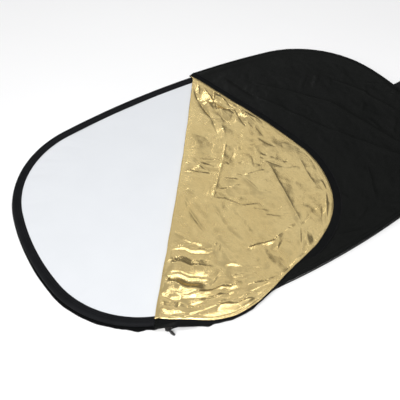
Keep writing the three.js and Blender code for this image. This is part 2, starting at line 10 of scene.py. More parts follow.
import bmesh
import bpy
import numpy as np
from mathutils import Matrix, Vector


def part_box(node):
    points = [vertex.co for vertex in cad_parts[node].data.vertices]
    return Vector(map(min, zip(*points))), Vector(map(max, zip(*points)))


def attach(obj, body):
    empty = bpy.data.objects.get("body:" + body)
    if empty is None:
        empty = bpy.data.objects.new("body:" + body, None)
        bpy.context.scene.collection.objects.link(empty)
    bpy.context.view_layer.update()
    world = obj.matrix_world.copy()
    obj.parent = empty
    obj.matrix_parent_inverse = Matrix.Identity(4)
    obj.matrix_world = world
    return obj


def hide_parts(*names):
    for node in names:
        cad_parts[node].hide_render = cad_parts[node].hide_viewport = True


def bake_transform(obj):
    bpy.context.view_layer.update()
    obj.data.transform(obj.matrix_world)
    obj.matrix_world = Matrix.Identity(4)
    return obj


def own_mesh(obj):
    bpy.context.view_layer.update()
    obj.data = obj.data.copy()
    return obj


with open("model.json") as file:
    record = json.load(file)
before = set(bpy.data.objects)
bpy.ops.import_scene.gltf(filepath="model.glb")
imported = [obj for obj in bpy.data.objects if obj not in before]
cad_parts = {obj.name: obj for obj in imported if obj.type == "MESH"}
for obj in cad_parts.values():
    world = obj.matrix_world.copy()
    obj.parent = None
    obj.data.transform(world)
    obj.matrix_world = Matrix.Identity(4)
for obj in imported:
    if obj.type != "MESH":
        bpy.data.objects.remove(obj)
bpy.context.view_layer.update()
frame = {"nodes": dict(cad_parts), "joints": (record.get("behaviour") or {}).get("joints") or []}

MM = 0.001
TURN = 2 * math.pi
UP = [0.0, 0.0, 1.0]


def cad(node):
    """Lowest and highest corner of a CAD node, in millimetres."""
    low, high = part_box(node)
    return np.array(low) / MM, np.array(high) / MM


def deg(angle):
    return math.radians(angle)


# ---- the cover's outline and the crease, as the CAD has them ----

END_RADIUS, CORNER_RADIUS, SIDE_RADIUS = 527.0, 223.0, 1673.0
PLY_INSET, HOOP_INSET = 1.2, 9.0
PANEL_INSET = HOOP_INSET + 8.0
HALF_LENGTH = cad("top_black_ply")[1][0] + PLY_INSET
HALF_WIDTH = -cad("rear_outer_ply")[0][1] + PLY_INSET
HOOP_Z = float(cad("rim_binding")[0][2] + cad("rim_binding")[1][2]) / 2
COVER_TOP = float(cad("top_black_ply")[1][2])
PANEL_Z = float(cad("diffuser_panel")[1][2])

JOINTS = {joint["name"]: joint for joint in frame["joints"]}
FOLD = np.array(JOINTS["flap_fold"]["pos_m"]) / MM
FOLD_NEAR, FOLD_Z = FOLD[:2], float(FOLD[2])
FOLD_ALONG = -np.array(JOINTS["flap_fold"]["axis"][:2])
FOLD_ACROSS = np.array([FOLD_ALONG[1], -FOLD_ALONG[0]])
FOLD_LENGTH = 653.5
FOLD_OUTER, FOLD_INNER = 1.6, 0.7
MOST_SAG = 0.5

OPEN_START, OPEN_END = deg(88.1), deg(250)
CLOSED_START, CLOSED_END = deg(252.2), deg(300)
SEWN_START, SEWN_END = deg(300.4), deg(447.5)


def corner_centre():
    """The centre of the arc that touches the end arc and the side arc from inside."""
    end, side = np.array([HALF_LENGTH - END_RADIUS, 0]), np.array([0, HALF_WIDTH - SIDE_RADIUS])
    to_end, to_side = END_RADIUS - CORNER_RADIUS, SIDE_RADIUS - CORNER_RADIUS
    line = side - end
    apart = np.hypot(*line)
    line = line / apart
    along = (apart**2 + to_end**2 - to_side**2) / (2 * apart)
    across = math.sqrt(to_end**2 - along**2)
    return end + line * along + np.array([-line[1], line[0]]) * across


END_X, SIDE_Y = HALF_LENGTH - END_RADIUS, HALF_WIDTH - SIDE_RADIUS
CORNER = corner_centre()
END_ANGLE = math.atan2(CORNER[1], CORNER[0] - END_X)
SIDE_ANGLE = math.atan2(CORNER[1] - SIDE_Y, CORNER[0])


def rim(angle, offset=0.0):
    """Points of the outline moved outwards, with a last axis of x and y."""
    angle, offset = np.broadcast_arrays(np.asarray(angle, float), np.asarray(offset, float))
    c, s = np.cos(angle), np.sin(angle)
    folded = np.arctan2(abs(s), abs(c))
    end, side = folded < END_ANGLE, folded > SIDE_ANGLE
    x = np.where(end, END_X, np.where(side, 0, CORNER[0])) * np.where(c < 0, -1, 1)
    y = np.where(end, 0, np.where(side, SIDE_Y, CORNER[1])) * np.where(s < 0, -1, 1)
    reach = offset + np.where(end, END_RADIUS, np.where(side, SIDE_RADIUS, CORNER_RADIUS))
    return np.stack([x + reach * c, y + reach * s], -1)


def depth(x, y):
    """How far points lie inside the outline."""
    x, y = abs(x), abs(y)
    to_arcs = np.minimum(END_RADIUS - np.hypot(x - END_X, y), SIDE_RADIUS - np.hypot(x, y - SIDE_Y))
    angle = np.arctan2(y - CORNER[1], x - CORNER[0])
    corner = (angle > END_ANGLE) & (angle < SIDE_ANGLE)
    return np.where(corner, CORNER_RADIUS - np.hypot(x - CORNER[0], y - CORNER[1]), to_arcs)


def even_angles(start, stop, count):
    """Angles that split a stretch of the outline into equal lengths."""
    fine = np.linspace(start, stop, 4000)
    steps = np.hypot(*np.diff(rim(fine), axis=0).T)
    length = np.concatenate([[0], np.cumsum(steps)])
    return np.interp(np.linspace(0, length[-1], count), length, fine)


def crease_frame(x, y):
    """Distance along the crease from its near end, and to the right of it."""
    x, y = x - FOLD_NEAR[0], y - FOLD_NEAR[1]
    return x * FOLD_ALONG[0] + y * FOLD_ALONG[1], x * FOLD_ACROSS[0] + y * FOLD_ACROSS[1]


def mirrored(plan):
    """Plan points turned over about the crease."""
    across = crease_frame(plan[..., 0], plan[..., 1])[1]
    return plan - 2 * across[..., None] * FOLD_ACROSS


def crossing(start, stop):
    """The angle in a stretch where the outline meets the crease's line."""
    angles = np.linspace(start, stop, 4000)
    points = rim(angles)
    return float(angles[np.argmin(abs(crease_frame(points[:, 0], points[:, 1])[1]))])


FOLD_FAR_ANGLE, FOLD_NEAR_ANGLE = crossing(deg(75), deg(100)), crossing(deg(235), deg(256))


# ---- small numeric tools ----


def smooth(value, low=0.0, high=1.0):
    """0 below low, 1 above high, and an even S between."""
    t = np.clip((value - low) / (high - low), 0, 1)
    return t * t * (3 - 2 * t)


def through(value, *knots):
    """A curve through (value, height) knots."""
    places, heights = zip(*knots)
    return np.interp(value, places, heights)


def bumps(x, y, size, seed, octaves=3):
    """Smooth random relief, about -1 to 1, with features of the given size."""
    draw = np.random.default_rng(seed)
    out = np.zeros(np.broadcast(x, y).shape)
    total = 0.0
    for octave in range(octaves):
        share = 0.5**octave
        for _ in range(6):
            turn, phase = draw.random(2) * TURN
            wave = size / 2**octave * draw.uniform(0.7, 1.5)
            ahead, aside = x * np.cos(turn) + y * np.sin(turn), x * np.sin(turn) - y * np.cos(turn)
            bend = draw.uniform(0.2, 0.6) * np.sin(aside * TURN / wave / 1.7 + phase)
            out = out + share * np.sin(ahead * TURN / wave + phase + 2 * bend)
        total += share
    return out / (2.5 * total)


def crumple(x, y, cell, tilt, seed, box):
    """Relief of flat facets meeting in sharp folds, over a box of low x, low y, high x and high y."""
    draw = np.random.default_rng(seed)
    columns = int((box[2] - box[0]) / cell) + 2
    rows = int((box[3] - box[1]) / cell) + 2
    out = np.full(x.shape, -1e9)
    for i in range(columns):
        for j in range(rows):
            cx = box[0] + (i + draw.uniform(-0.4, 0.4)) * cell
            cy = box[1] + (j + draw.uniform(-0.4, 0.4)) * cell
            gx, gy, level = draw.normal(0, tilt), draw.normal(0, tilt), draw.normal(0, tilt * cell * 0.3)
            dx, dy = x - cx, y - cy
            out = np.maximum(out, level + gx * dx + gy * dy - 1.6 * tilt / cell * (dx * dx + dy * dy))
    return out - out.mean()


def pleats(x, y, lines):
    """Straight folds, each x1, y1, x2, y2, half width, height, and lean from -1 to 1 if it has one."""
    out = np.zeros(x.shape)
    for x1, y1, x2, y2, width, height, *leans in lines:
        lean = leans[0] if leans else 0
        length = math.hypot(x2 - x1, y2 - y1)
        ux, uy = (x2 - x1) / length, (y2 - y1) / length
        along = (x - x1) * ux + (y - y1) * uy
        across = (y - y1) * ux - (x - x1) * uy
        taper = min(length * 0.3, 22)
        window = smooth(along, -0.3 * taper, taper) * smooth(length - along, -0.3 * taper, taper)
        side = width * np.where(across > 0, 1 + lean, 1 - lean)
        out = out + height * window * np.exp(-abs(across) / side)
    return out


# ---- making meshes ----


def build(name, points, faces):
    """A smooth-shaded piece from points in millimetres."""
    mesh = bpy.data.meshes.new(name)
    mesh.from_pydata((points.reshape(-1, 3) * MM).tolist(), [], faces)
    mesh.polygons.foreach_set("use_smooth", np.ones(len(faces), bool))
    mesh.update()
    piece = bpy.data.objects.new(name, mesh)
    bpy.context.scene.collection.objects.link(piece)
    return piece


def surface(name, points, wrap_rows=False, wrap_columns=False, flip=False, weave=None):
    """A smooth quad mesh through a grid of points, with weave coordinates in metres where given."""
    rows, columns = points.shape[:2]
    index = np.arange(rows * columns).reshape(rows, columns)
    if wrap_columns:
        index = np.concatenate([index, index[:, :1]], 1)
    if wrap_rows:
        index = np.concatenate([index, index[:1]], 0)
    quads = np.stack([index[:-1, :-1], index[1:, :-1], index[1:, 1:], index[:-1, 1:]], -1).reshape(-1, 4)
    if flip:
        quads = quads[:, ::-1]
    piece = build(name, points, quads.tolist())
    if weave is not None:
        places = weave.reshape(-1, 2)[quads.reshape(-1)] * MM
        layer = piece.data.uv_layers.new(name="weave")
        layer.data.foreach_set("uv", places.astype(np.float32).ravel())
    return piece


def dress(piece, material, body, node=None):
    """Gives a piece its material and its body, and hides the CAD node that it stands for, if any."""
    piece.data.materials.clear()
    piece.data.materials.append(material)
    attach(piece, body)
    if node:
        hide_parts(node)


def thicken(piece, thickness):
    """Gives a one-sided surface a thickness, on the side away from its normals."""
    solid = piece.modifiers.new("thickness", "SOLIDIFY")
    solid.thickness = thickness * MM
    solid.offset = -1
    solid.use_even_offset = False
    return piece


def strip(name, grid, thickness, **more):
    """A strip of cloth or tape through a grid of points, with its weave along it."""
    return thicken(surface(name, grid, weave=strip_weave(grid), **more), thickness)


def stack(plan, z):
    """Plan points with a height each."""
    return np.concatenate([plan, np.broadcast_to(z, plan.shape[:-1])[..., None]], -1)


def normals_of(points):
    """The upward unit normal at each point of a grid."""
    across = np.cross(np.gradient(points, axis=0), np.gradient(points, axis=1))
    across /= np.maximum(np.linalg.norm(across, axis=-1, keepdims=True), 1e-9)
    return across * np.where(across[..., 2:] < 0, -1, 1)


def swept(angles, section):
    """Grid of points: a section of (offset, z) carried along the outline."""
    section = np.asarray(section, float)
    plan = rim(angles[:, None], section[None, :, 0])
    return stack(plan, np.broadcast_to(section[None, :, 1], plan.shape[:2]))


def strip_weave(points):
    """Weave coordinates of a strip: along its rows, and across its columns."""
    along = np.linalg.norm(np.diff(points, axis=0), axis=-1)
    across = np.linalg.norm(np.diff(points, axis=1), axis=-1)
    along = np.concatenate([[0], np.cumsum(along.mean(1))])[: points.shape[0]]
    across = np.concatenate([[0], np.cumsum(across.mean(0))])[: points.shape[1]]
    return np.stack(np.meshgrid(along, across, indexing="ij"), -1)


def unit(vectors):
    return vectors / np.maximum(np.linalg.norm(vectors, axis=-1, keepdims=True), 1e-9)


def along_path(path, spacing, *others):
    """A path's points at an even spacing, with other per-point arrays carried along."""
    steps = np.linalg.norm(np.diff(path, axis=0), axis=-1)
    length = np.concatenate([[0], np.cumsum(steps)])
    count = max(2, int(length[-1] / spacing) + 1)
    places = np.linspace(0, length[-1], count)
    return [np.stack([np.interp(places, length, column) for column in a.T], -1) for a in (path, *others)]


def circles(centres, radius, aside, up, sides):
    """A ring of points round each centre."""
    turn = np.arange(sides)[None, :, None] * TURN / sides
    return centres[:, None] + radius * (aside[:, None] * np.cos(turn) + up[:, None] * np.sin(turn))


def stitches(name, path, up, length=3.0, gap=1.1, radius=0.28, sides=5):
    """One thread's row of stitches over a path, each a bead that dips into the cloth at both ends."""
    centres, ups = along_path(path, length + gap, up)
    ahead = unit(np.gradient(centres, axis=0))
    ups = unit(ups)
    aside = unit(np.cross(ahead, ups))
    rings = [(-0.5, 0.45, -0.9), (-0.32, 0.95, 0.1), (0, 1, 0.45), (0.32, 0.95, 0.1), (0.5, 0.45, -0.9)]
    beads = []
    for place, size, lift in rings:
        centre = centres + ahead * place * length + ups * lift * radius
        beads.append(circles(centre, radius * size, aside, ups, sides))
    points = np.stack(beads, 1)
    count, ring_count = points.shape[:2]
    index = np.arange(count * ring_count * sides).reshape(count, ring_count, sides)
    wrapped = np.concatenate([index, index[..., :1]], -1)
    low, high = wrapped[:, :-1], wrapped[:, 1:]
    quads = np.stack([low[..., :-1], low[..., 1:], high[..., 1:], high[..., :-1]], -1)
    caps = index[:, 0, ::-1].tolist() + index[:, -1].tolist()
    return build(name, points, quads.reshape(-1, 4).tolist() + caps)


def coil(name, path, outward, up, pitch=1.7, reach=1.0, rise=0.62, wire=0.3, sides=5, steps=8):
    """A zip's wound coil along a path: one wire in a flattened spiral."""
    centres, out, ups = along_path(path, pitch / steps, outward, up)
    phase = np.arange(len(centres)) * TURN / steps
    out, ups = unit(out), unit(ups)
    line = centres + out * (reach * np.cos(phase))[:, None] + ups * (rise * np.sin(phase))[:, None]
    ahead = unit(np.gradient(line, axis=0))
    aside = unit(np.cross(ahead, ups + 0.01 * out))
    return surface(name, circles(line, wire, aside, np.cross(aside, ahead), sides), wrap_columns=True)


# ---- materials ----


def fill_ramp(ramp, stops):
    """Sets a colour ramp to (position, colour) stops."""
    while len(ramp.elements) < len(stops):
        ramp.elements.new(0.5)
    for element, (position, colour) in zip(ramp.elements, stops):
        element.position = position
        element.color = (*colour, 1)


class Paint:
    """A node material with a Principled shader, its constants set on the shader's own sockets."""

    def __init__(self, name, **constants):
        self.material = bpy.data.materials.new(name)
        self.material.use_nodes = True
        self.tree = self.material.node_tree
        self.shader = self.tree.nodes["Principled BSDF"]
        for key, value in constants.items():
            self.shader.inputs[key.replace("_", " ")].default_value = value

    def node(self, kind, inputs=(), **settings):
        made = self.tree.nodes.new("ShaderNode" + kind)
        for key, value in settings.items():
            setattr(made, key, value)
        for key, value in dict(inputs).items():
            if isinstance(value, bpy.types.NodeSocket):
                self.tree.links.new(value, made.inputs[key])
            else:
                made.inputs[key].default_value = value
        return made

    def put(self, socket, value):
        self.tree.links.new(value, self.shader.inputs[socket])

    def place(self):
        """Position on the object, in metres."""
        return self.node("TexCoord").outputs["Object"]

    def weave_place(self):
        return self.node("UVMap", uv_map="weave").outputs["UV"]

    def noise(self, place, scale, detail=3.0, roughness=0.55, distortion=0.0):
        inputs = dict(Vector=place, Scale=scale, Detail=detail, Roughness=roughness, Distortion=distortion)
        return self.node("TexNoise", inputs).outputs["Fac"]

    def wave(self, place, scale, direction, distortion=0.0):
        inputs = {"Vector": place, "Scale": scale, "Distortion": distortion, "Detail Scale": 1.0}
        made = self.node("TexWave", inputs, wave_type="BANDS", bands_direction=direction, wave_profile="SIN")
        return made.outputs["Fac"]

    def math(self, operation, a, b=0.5):
        return self.node("Math", {0: a, 1: b}, operation=operation).outputs[0]

    def shares(self, a, share_a, b, share_b):
        """Two values, each times its share, added."""
        return self.math("ADD", self.math("MULTIPLY", a, share_a), self.math("MULTIPLY", b, share_b))

    def ramp(self, value, *stops):
        made = self.node("ValToRGB", {"Fac": value})
        fill_ramp(made.color_ramp, stops)
        return made.outputs["Color"]

    def spread(self, value, low, high):
        """Maps 0..1 to low..high."""
        return self.node("MapRange", {"Value": value, "To Min": low, "To Max": high}).outputs["Result"]

    def bump(self, height, distance, strength=1.0, under=None):
        inputs = {"Height": height, "Distance": distance, "Strength": strength}
        if under is not None:
            inputs["Normal"] = under
        return self.node("Bump", inputs).outputs["Normal"]


def wave_scale(pitch_mm):
    """The scale of a band texture whose bands are that far apart."""
    return 0.314159 / (pitch_mm * MM)


def woven(paint, place, pitch, distance, under=None):
    """Plain weave: threads over and under in both directions. Returns its height and its normal."""
    warp = paint.wave(place, wave_scale(pitch), "X")
    weft = paint.wave(place, wave_scale(pitch), "Y")
    height = paint.math("MULTIPLY", warp, weft)
    return height, paint.bump(height, distance * MM, 0.7, under)


def cloth_paint(
    name, low, high, pitch=0.55, relief=0.05, wrinkle=0.5, roughness=(0.5, 0.68), use_weave=True, **more
):
    """Woven cloth: tone that drifts and speckles thread by thread, fine weave, and soft handling wrinkles."""
    paint = Paint(name, **more)
    place = paint.weave_place() if use_weave else paint.place()
    drift = paint.noise(place, 14, 4)
    speck = paint.noise(place, 900, 2)
    paint.put("Base Color", paint.ramp(paint.shares(drift, 0.7, speck, 0.3), (0.35, low), (0.65, high)))
    folds = paint.noise(place, 55, 5, 0.6, 0.6)
    soft = paint.bump(folds, wrinkle * MM, 0.6)
    height, normal = woven(paint, place, pitch, relief, soft)
    paint.put("Normal", normal)
    paint.put("Roughness", paint.spread(paint.shares(drift, 0.6, height, 0.4), *roughness))
    return paint.material


def ribbed_paint(name, low, high, rib=0.9, **more):
    """Ribbed ribbon or tape: ribs across its length over a fine weave."""
    paint = Paint(name, **more)
    place = paint.weave_place()
    drift = paint.noise(place, 40, 4)
    paint.put("Base Color", paint.ramp(drift, (0.35, low), (0.65, high)))
    ribs = paint.wave(place, wave_scale(rib), "X", 0.4)
    threads = paint.wave(place, wave_scale(rib * 0.55), "Y", 0.2)
    height = paint.shares(ribs, 0.7, threads, 0.3)
    pucker = paint.bump(paint.noise(place, 90, 3), 0.35 * MM, 0.5)
    paint.put("Normal", paint.bump(height, 0.12 * MM, 0.7, pucker))
    paint.put("Roughness", paint.spread(paint.shares(drift, 0.6, ribs, 0.3), 0.62, 0.85))
    return paint.material


def foil_paint(name, low, high, roughness=(0.2, 0.36), fine=0.5):
    """Metallised cloth: a mirror-like skin broken by fine crinkles, worn a little duller along them."""
    paint = Paint(name, Metallic=1.0)
    place = paint.place()
    turned = {"Vector": place, "Rotation": (0, 0, 0.95), "Scale": (1, 0.55, 1)}
    warp = paint.node("Mapping", turned).outputs["Vector"]
    crinkle = paint.noise(warp, 60, 6, 0.62, 1.2)
    scatter = {"Vector": warp, "Scale": 85.0, "Randomness": 1.0}
    cells = paint.node("TexVoronoi", scatter, feature="DISTANCE_TO_EDGE")
    edges = paint.spread(cells.outputs["Distance"], 0.0, 1.0)
    drift = paint.noise(place, 9, 4)
    paint.put("Base Color", paint.ramp(paint.shares(drift, 0.6, crinkle, 0.4), (0.35, low), (0.66, high)))
    broad = paint.bump(crinkle, fine * 2.2 * MM, 0.6)
    sharp = paint.bump(edges, fine * 0.5 * MM, 0.5, broad)
    paint.put("Normal", woven(paint, place, 0.5, 0.02, sharp)[1])
    paint.put("Roughness", paint.spread(crinkle, roughness[1], roughness[0]))
    return paint.material


def metal_paint(name, low, high, worn, roughness, metallic=1.0, **more):
    """Lacquered or brushed metal: fine grain, blotches, and bare edges where it rubs."""
    paint = Paint(name, Metallic=metallic, **more)
    place = paint.place()
    blotch = paint.noise(place, 260, 4)
    base = paint.ramp(blotch, (0.3, low), (0.7, high))
    edge = paint.node("NewGeometry").outputs["Pointiness"]
    wear = paint.spread(paint.math("ADD", edge, paint.math("MULTIPLY", blotch, 0.05)), 0, 1)
    mask = paint.node("MapRange", {"Value": wear, "From Min": 0.56, "From Max": 0.64}).outputs["Result"]
    mix = paint.node("Mix", {"Factor": mask}, data_type="RGBA")
    paint.tree.links.new(base, mix.inputs["A"])
    mix.inputs["B"].default_value = (*worn, 1)
    paint.put("Base Color", mix.outputs["Result"])
    grain = paint.node("Mapping", {"Vector": place, "Scale": (1, 1, 14)}).outputs["Vector"]
    paint.put("Normal", paint.bump(paint.noise(grain, 700, 3), 0.03 * MM, 0.5))
    paint.put("Roughness", paint.spread(blotch, *roughness))
    return paint.material


BLACK_CLOTH = cloth_paint(
    "black_nylon", (0.0022, 0.0027, 0.0022), (0.0036, 0.0041, 0.0035), wrinkle=0.75, roughness=(0.3, 0.4),
    Specular_IOR_Level=0.12,
)
WHITE_CLOTH = cloth_paint("white_nylon", (0.74, 0.74, 0.73), (0.8, 0.8, 0.79), roughness=(0.7, 0.85))
PANEL_CLOTH = cloth_paint(
    "diffuser_nylon", (0.70, 0.72, 0.745), (0.72, 0.74, 0.765), pitch=0.45, relief=0.02, wrinkle=0.12,
    roughness=(0.6, 0.75), Specular_IOR_Level=0.3,
)
GOLD_FOIL = foil_paint(
    "gold_foil", (0.77, 0.585, 0.26), (0.83, 0.655, 0.315), roughness=(0.2, 0.32), fine=0.25,
)
SILVER_FOIL = foil_paint("silver_foil", (0.66, 0.67, 0.69), (0.78, 0.79, 0.8), fine=0.35)
BINDING = ribbed_paint(
    "binding_grosgrain", (0.0038, 0.0042, 0.0052), (0.0065, 0.007, 0.0084), Specular_IOR_Level=0.14,
)
TAPE = ribbed_paint(
    "zip_tape_weave", (0.0026, 0.0029, 0.003), (0.0042, 0.0046, 0.0048), rib=0.7, Specular_IOR_Level=0.09,
)
WEBBING = ribbed_paint(
    "loop_webbing", (0.0045, 0.0048, 0.005), (0.0085, 0.0088, 0.009), rib=1.3, Specular_IOR_Level=0.15,
)
THREAD = cloth_paint(
    "black_thread", (0.007, 0.0075, 0.0085), (0.012, 0.0125, 0.014), wrinkle=0.1, use_weave=False,
    Specular_IOR_Level=0.2,
)
COIL = metal_paint(
    "coil_nylon", (0.004, 0.004, 0.005), (0.007, 0.007, 0.008), (0.009, 0.009, 0.01), (0.5, 0.65), 0.0,
    Specular_IOR_Level=0.15,
)
LACQUER = metal_paint(
    "slider_lacquer", (0.004, 0.004, 0.0044), (0.007, 0.007, 0.0075), (0.03, 0.028, 0.026), (0.34, 0.5), 0.0,
    Specular_IOR_Level=0.2,
)
STEEL = metal_paint(
    "spring_steel_brushed", (0.36, 0.38, 0.42), (0.5, 0.51, 0.53), (0.62, 0.62, 0.62), (0.25, 0.4),
)
BRASS = metal_paint("sleeve_brass_worn", (0.5, 0.34, 0.12), (0.62, 0.46, 0.2), (0.75, 0.6, 0.32), (0.3, 0.48))


# ---- camera, floor and light ----

LENS, CAMERA_PLACE, CAMERA_LOOK = 55.14, (-0.5095, -0.7327, 0.9472), (0.325, 0.5544, -0.7662)
FLOOR_REACH, FLOOR_DROP = 30000.0, 0.05

# The light from all round is even about this line, and goes by (share of the way along it, level).
GLOW_LINE = (-0.35, 0.22, 0.91)
GLOW = [
    (0.0, 0.16), (0.5, 0.16), (0.69, 0.16), (0.75, 0.34), (0.785, 1.0),
    (0.83, 0.85), (0.87, 0.76), (0.90, 0.52), (0.94, 0.46), (1.0, 0.5),
]


def aimed(name, data, place, look):
    """Puts a camera or a light in the scene, facing along a direction."""
    made = bpy.data.objects.new(name, data)
    bpy.context.scene.collection.objects.link(made)
    made.location = place
    made.rotation_mode = "QUATERNION"
    made.rotation_quaternion = Vector(look).to_track_quat("-Z", "Y")
    return made


def camera():
    data = bpy.data.cameras.new("camera")
    data.lens, data.sensor_width = LENS, 36.0
    data.clip_start, data.clip_end = 0.05, 60
    bpy.context.scene.camera = aimed("camera", data, CAMERA_PLACE, CAMERA_LOOK)


def floor():
    """A plain pale floor, flat all over."""
    places = np.linspace(-FLOOR_REACH, FLOOR_REACH, 25)
    plan = np.stack(np.meshgrid(places, places, indexing="ij"), -1)
    made = surface("floor", stack(plan, -FLOOR_DROP))
    paint = Paint("floor_paper", Roughness=0.9, Specular_IOR_Level=0.1)
    tone = paint.noise(paint.place(), 3, 2)
    paint.put("Base Color", paint.ramp(tone, (0.3, (0.93, 0.93, 0.93)), (0.7, (0.94, 0.94, 0.94))))
    made.data.materials.append(paint.material)


def softbox(name, location, target, size, power):
    data = bpy.data.lights.new(name, "AREA")
    data.shape, data.size, data.size_y = "RECTANGLE", *size
    data.energy = power
    aimed(name, data, location, Vector(target) - Vector(location))


def studio():
    """Soft light from all round, brightest at middle heights, and a plain pale backdrop."""
    world = bpy.data.worlds.new("studio")
    bpy.context.scene.world = world
    world.use_nodes = True
    nodes, link = world.node_tree.nodes, world.node_tree.links.new
    nodes.clear()
    toward = nodes.new("ShaderNodeVectorMath")
    toward.operation = "DOT_PRODUCT"
    toward.inputs[1].default_value = Vector(GLOW_LINE).normalized()
    link(nodes.new("ShaderNodeTexCoord").outputs["Generated"], toward.inputs[0])
    half = nodes.new("ShaderNodeMapRange")
    half.inputs["From Min"].default_value = -1
    link(toward.outputs["Value"], half.inputs["Value"])
    glow = nodes.new("ShaderNodeValToRGB")
    fill_ramp(glow.color_ramp, [(place, (level, level, level * 1.01)) for place, level in GLOW])
    link(half.outputs["Result"], glow.inputs["Fac"])
    lit, plain = nodes.new("ShaderNodeBackground"), nodes.new("ShaderNodeBackground")
    link(glow.outputs["Color"], lit.inputs["Color"])
    plain.inputs["Color"].default_value = (0.98, 0.98, 0.98, 1)
    mix = nodes.new("ShaderNodeMixShader")
    link(nodes.new("ShaderNodeLightPath").outputs["Is Camera Ray"], mix.inputs[0])
    link(lit.outputs[0], mix.inputs[1])
    link(plain.outputs[0], mix.inputs[2])
    link(mix.outputs[0], nodes.new("ShaderNodeOutputWorld").inputs["Surface"])
    softbox("overhead", (-0.2, -0.3, 2.35), (-0.1, -0.1, 0), (1.4, 0.34), 8.5)
    softbox("far_left", (0.54, 2.03, 1.33), (0.06, 0.22, 0), (0.26, 0.26), 1.9)
    softbox("behind_camera", (-1.3, -1.5, 2.1), (0, 0, 0), (1.4, 1.2), 60)
    bpy.context.scene.view_settings.view_transform = "Standard"


camera()
floor()
studio()


# ---- heights of the cloth ----


def crease_bow(along):
    """How far the crease bows to the right of the straight line between its ends."""
    return through(
        along,
        (-20, -1.0), (60, -0.8), (140, 1.2), (280, 3.4), (400, 4.2), (500, 3.2), (600, 1.0), (670, 0.4),
    )


def fold_sag(along):
    """How far the crease sinks between the two sides of the hoop."""
    return MOST_SAG * smooth(along, 25, 150) * smooth(FOLD_LENGTH - along, 25, 150)


def over_hoop(inside):
    """Height of cloth stretched over the hoop and slack inside it, from its distance inside the outline."""
    return through(
        inside,
        (0.0, COVER_TOP - 1.5), (2.2, COVER_TOP - 0.6), (3.4, COVER_TOP + 0.2), (5.0, COVER_TOP + 0.2),
        (6.4, COVER_TOP - 0.9), (7.6, COVER_TOP - 1.0), (9.4, COVER_TOP - 0.1),
        (12.0, COVER_TOP + 0.05), (16.0, COVER_TOP - 0.35), (24.0, COVER_TOP - 1.9), (38.0, COVER_TOP - 2.9),
        (70.0, COVER_TOP - 3.3), (400.0, COVER_TOP - 3.3),
    )


COVER_CREASES = [
    # x1, y1, x2, y2, half width, height, and lean if any
    (180, 195, 254, 107, 4.5, 1.5, 0.3), (245, 118, 300, 44, 3.9, 1.8, -0.3),
    (292, 56, 345, -150, 4.8, 2.5, 0.35), (160, 150, 200, 62, 4.5, 1.7, 0.3),
    (196, 70, 240, -30, 3.9, 2, -0.2), (236, -22, 325, -175, 5.1, 2.2, 0.3),
    (352, 108, 388, 36, 3.9, 1.8, 0.3), (384, 44, 408, -50, 3.9, 1.7, -0.2),
    (135, 247, 158, 149, 5.4, -2.2, 0.2), (266, 122, 318, 164, 3.3, 1.8, 0.2),
    (282, 112, 326, 150, 3.6, -1.7, -0.2), (295, 110, 338, 148, 3.3, 1.7, 0.2),
    (330, 96, 352, 122, 3, 1.4, 0.2), (366, 92, 396, 114, 3, 1.7, 0.2), (336, -14, 366, 10, 3, 2.2, 0.3),
    (378, 20, 410, 60, 3.3, 1.5, 0.2), (350, -105, 392, -68, 3.3, 1.7, 0.3),
    (335, -40, 337, -80, 3.3, 1.4, 0.2), (430, 12, 462, 14, 2.7, 3, 0.2),
    (425, -10, 461, 6, 2.7, 2.7, -0.2), (416, -28, 458, 0, 3, 2, 0.3), (424, 34, 462, 20, 2.7, 2.7, 0.3),
    (410, 62, 455, 28, 3, 2, -0.3), (137, -168, 147, -208, 3.9, 1.4, 0.2),
    (118, -256, 166, -238, 3.6, 1.5, 0.2), (190, -235, 240, -150, 4.5, 1.2, 0.2),
    (230, -210, 300, -190, 3.9, 1.2, -0.2), (60, -262, 118, -276, 3.3, 1.4, 0.2),
]


def cover_top(x, y):
    """Height of the closed cover's black outer face."""
    inside = depth(x, y)
    along, across = crease_frame(x, y)
    z = over_hoop(inside)
    slack = smooth(inside, 14, 45)
    z = z + slack * (0.7 * bumps(x, y, 150, 3) + 0.45 * bumps(x, y, 46, 4))
    z = z + smooth(inside, 8, 22) * pleats(x, y, COVER_CREASES)
    rippled = 0.3 * smooth(inside, 6, 16) * smooth(60 - inside, 0, 36)
    z = z + rippled * bumps(np.arctan2(y, x) * 330, inside * 0.25, 30, 8, 2)
    crease = FOLD_Z - FOLD_INNER - fold_sag(along)
    return crease + (z - crease) * smooth(across, 0, 42)


def flap_height(x, y):
    """Height of the folded-back flap's gold face, before its crumples."""
    inside = depth(x, y)
    along, across = crease_frame(x, y)
    across = across - crease_bow(along)
    held = np.maximum(inside, 9)
    z = cover_top(x, y) * smooth(inside, 4, 12) + over_hoop(held) * (1 - smooth(inside, 4, 12))
    z = z + 1.9 + 1.5 * smooth(inside, 14, 60)
    crease = FOLD_Z + FOLD_OUTER - fold_sag(along)
    z = crease + (z - crease) * smooth(across, 4, 60)
    droop = smooth(x, -292, -215) * smooth(-inside, -6, 40)
    return z - 6.3 * droop


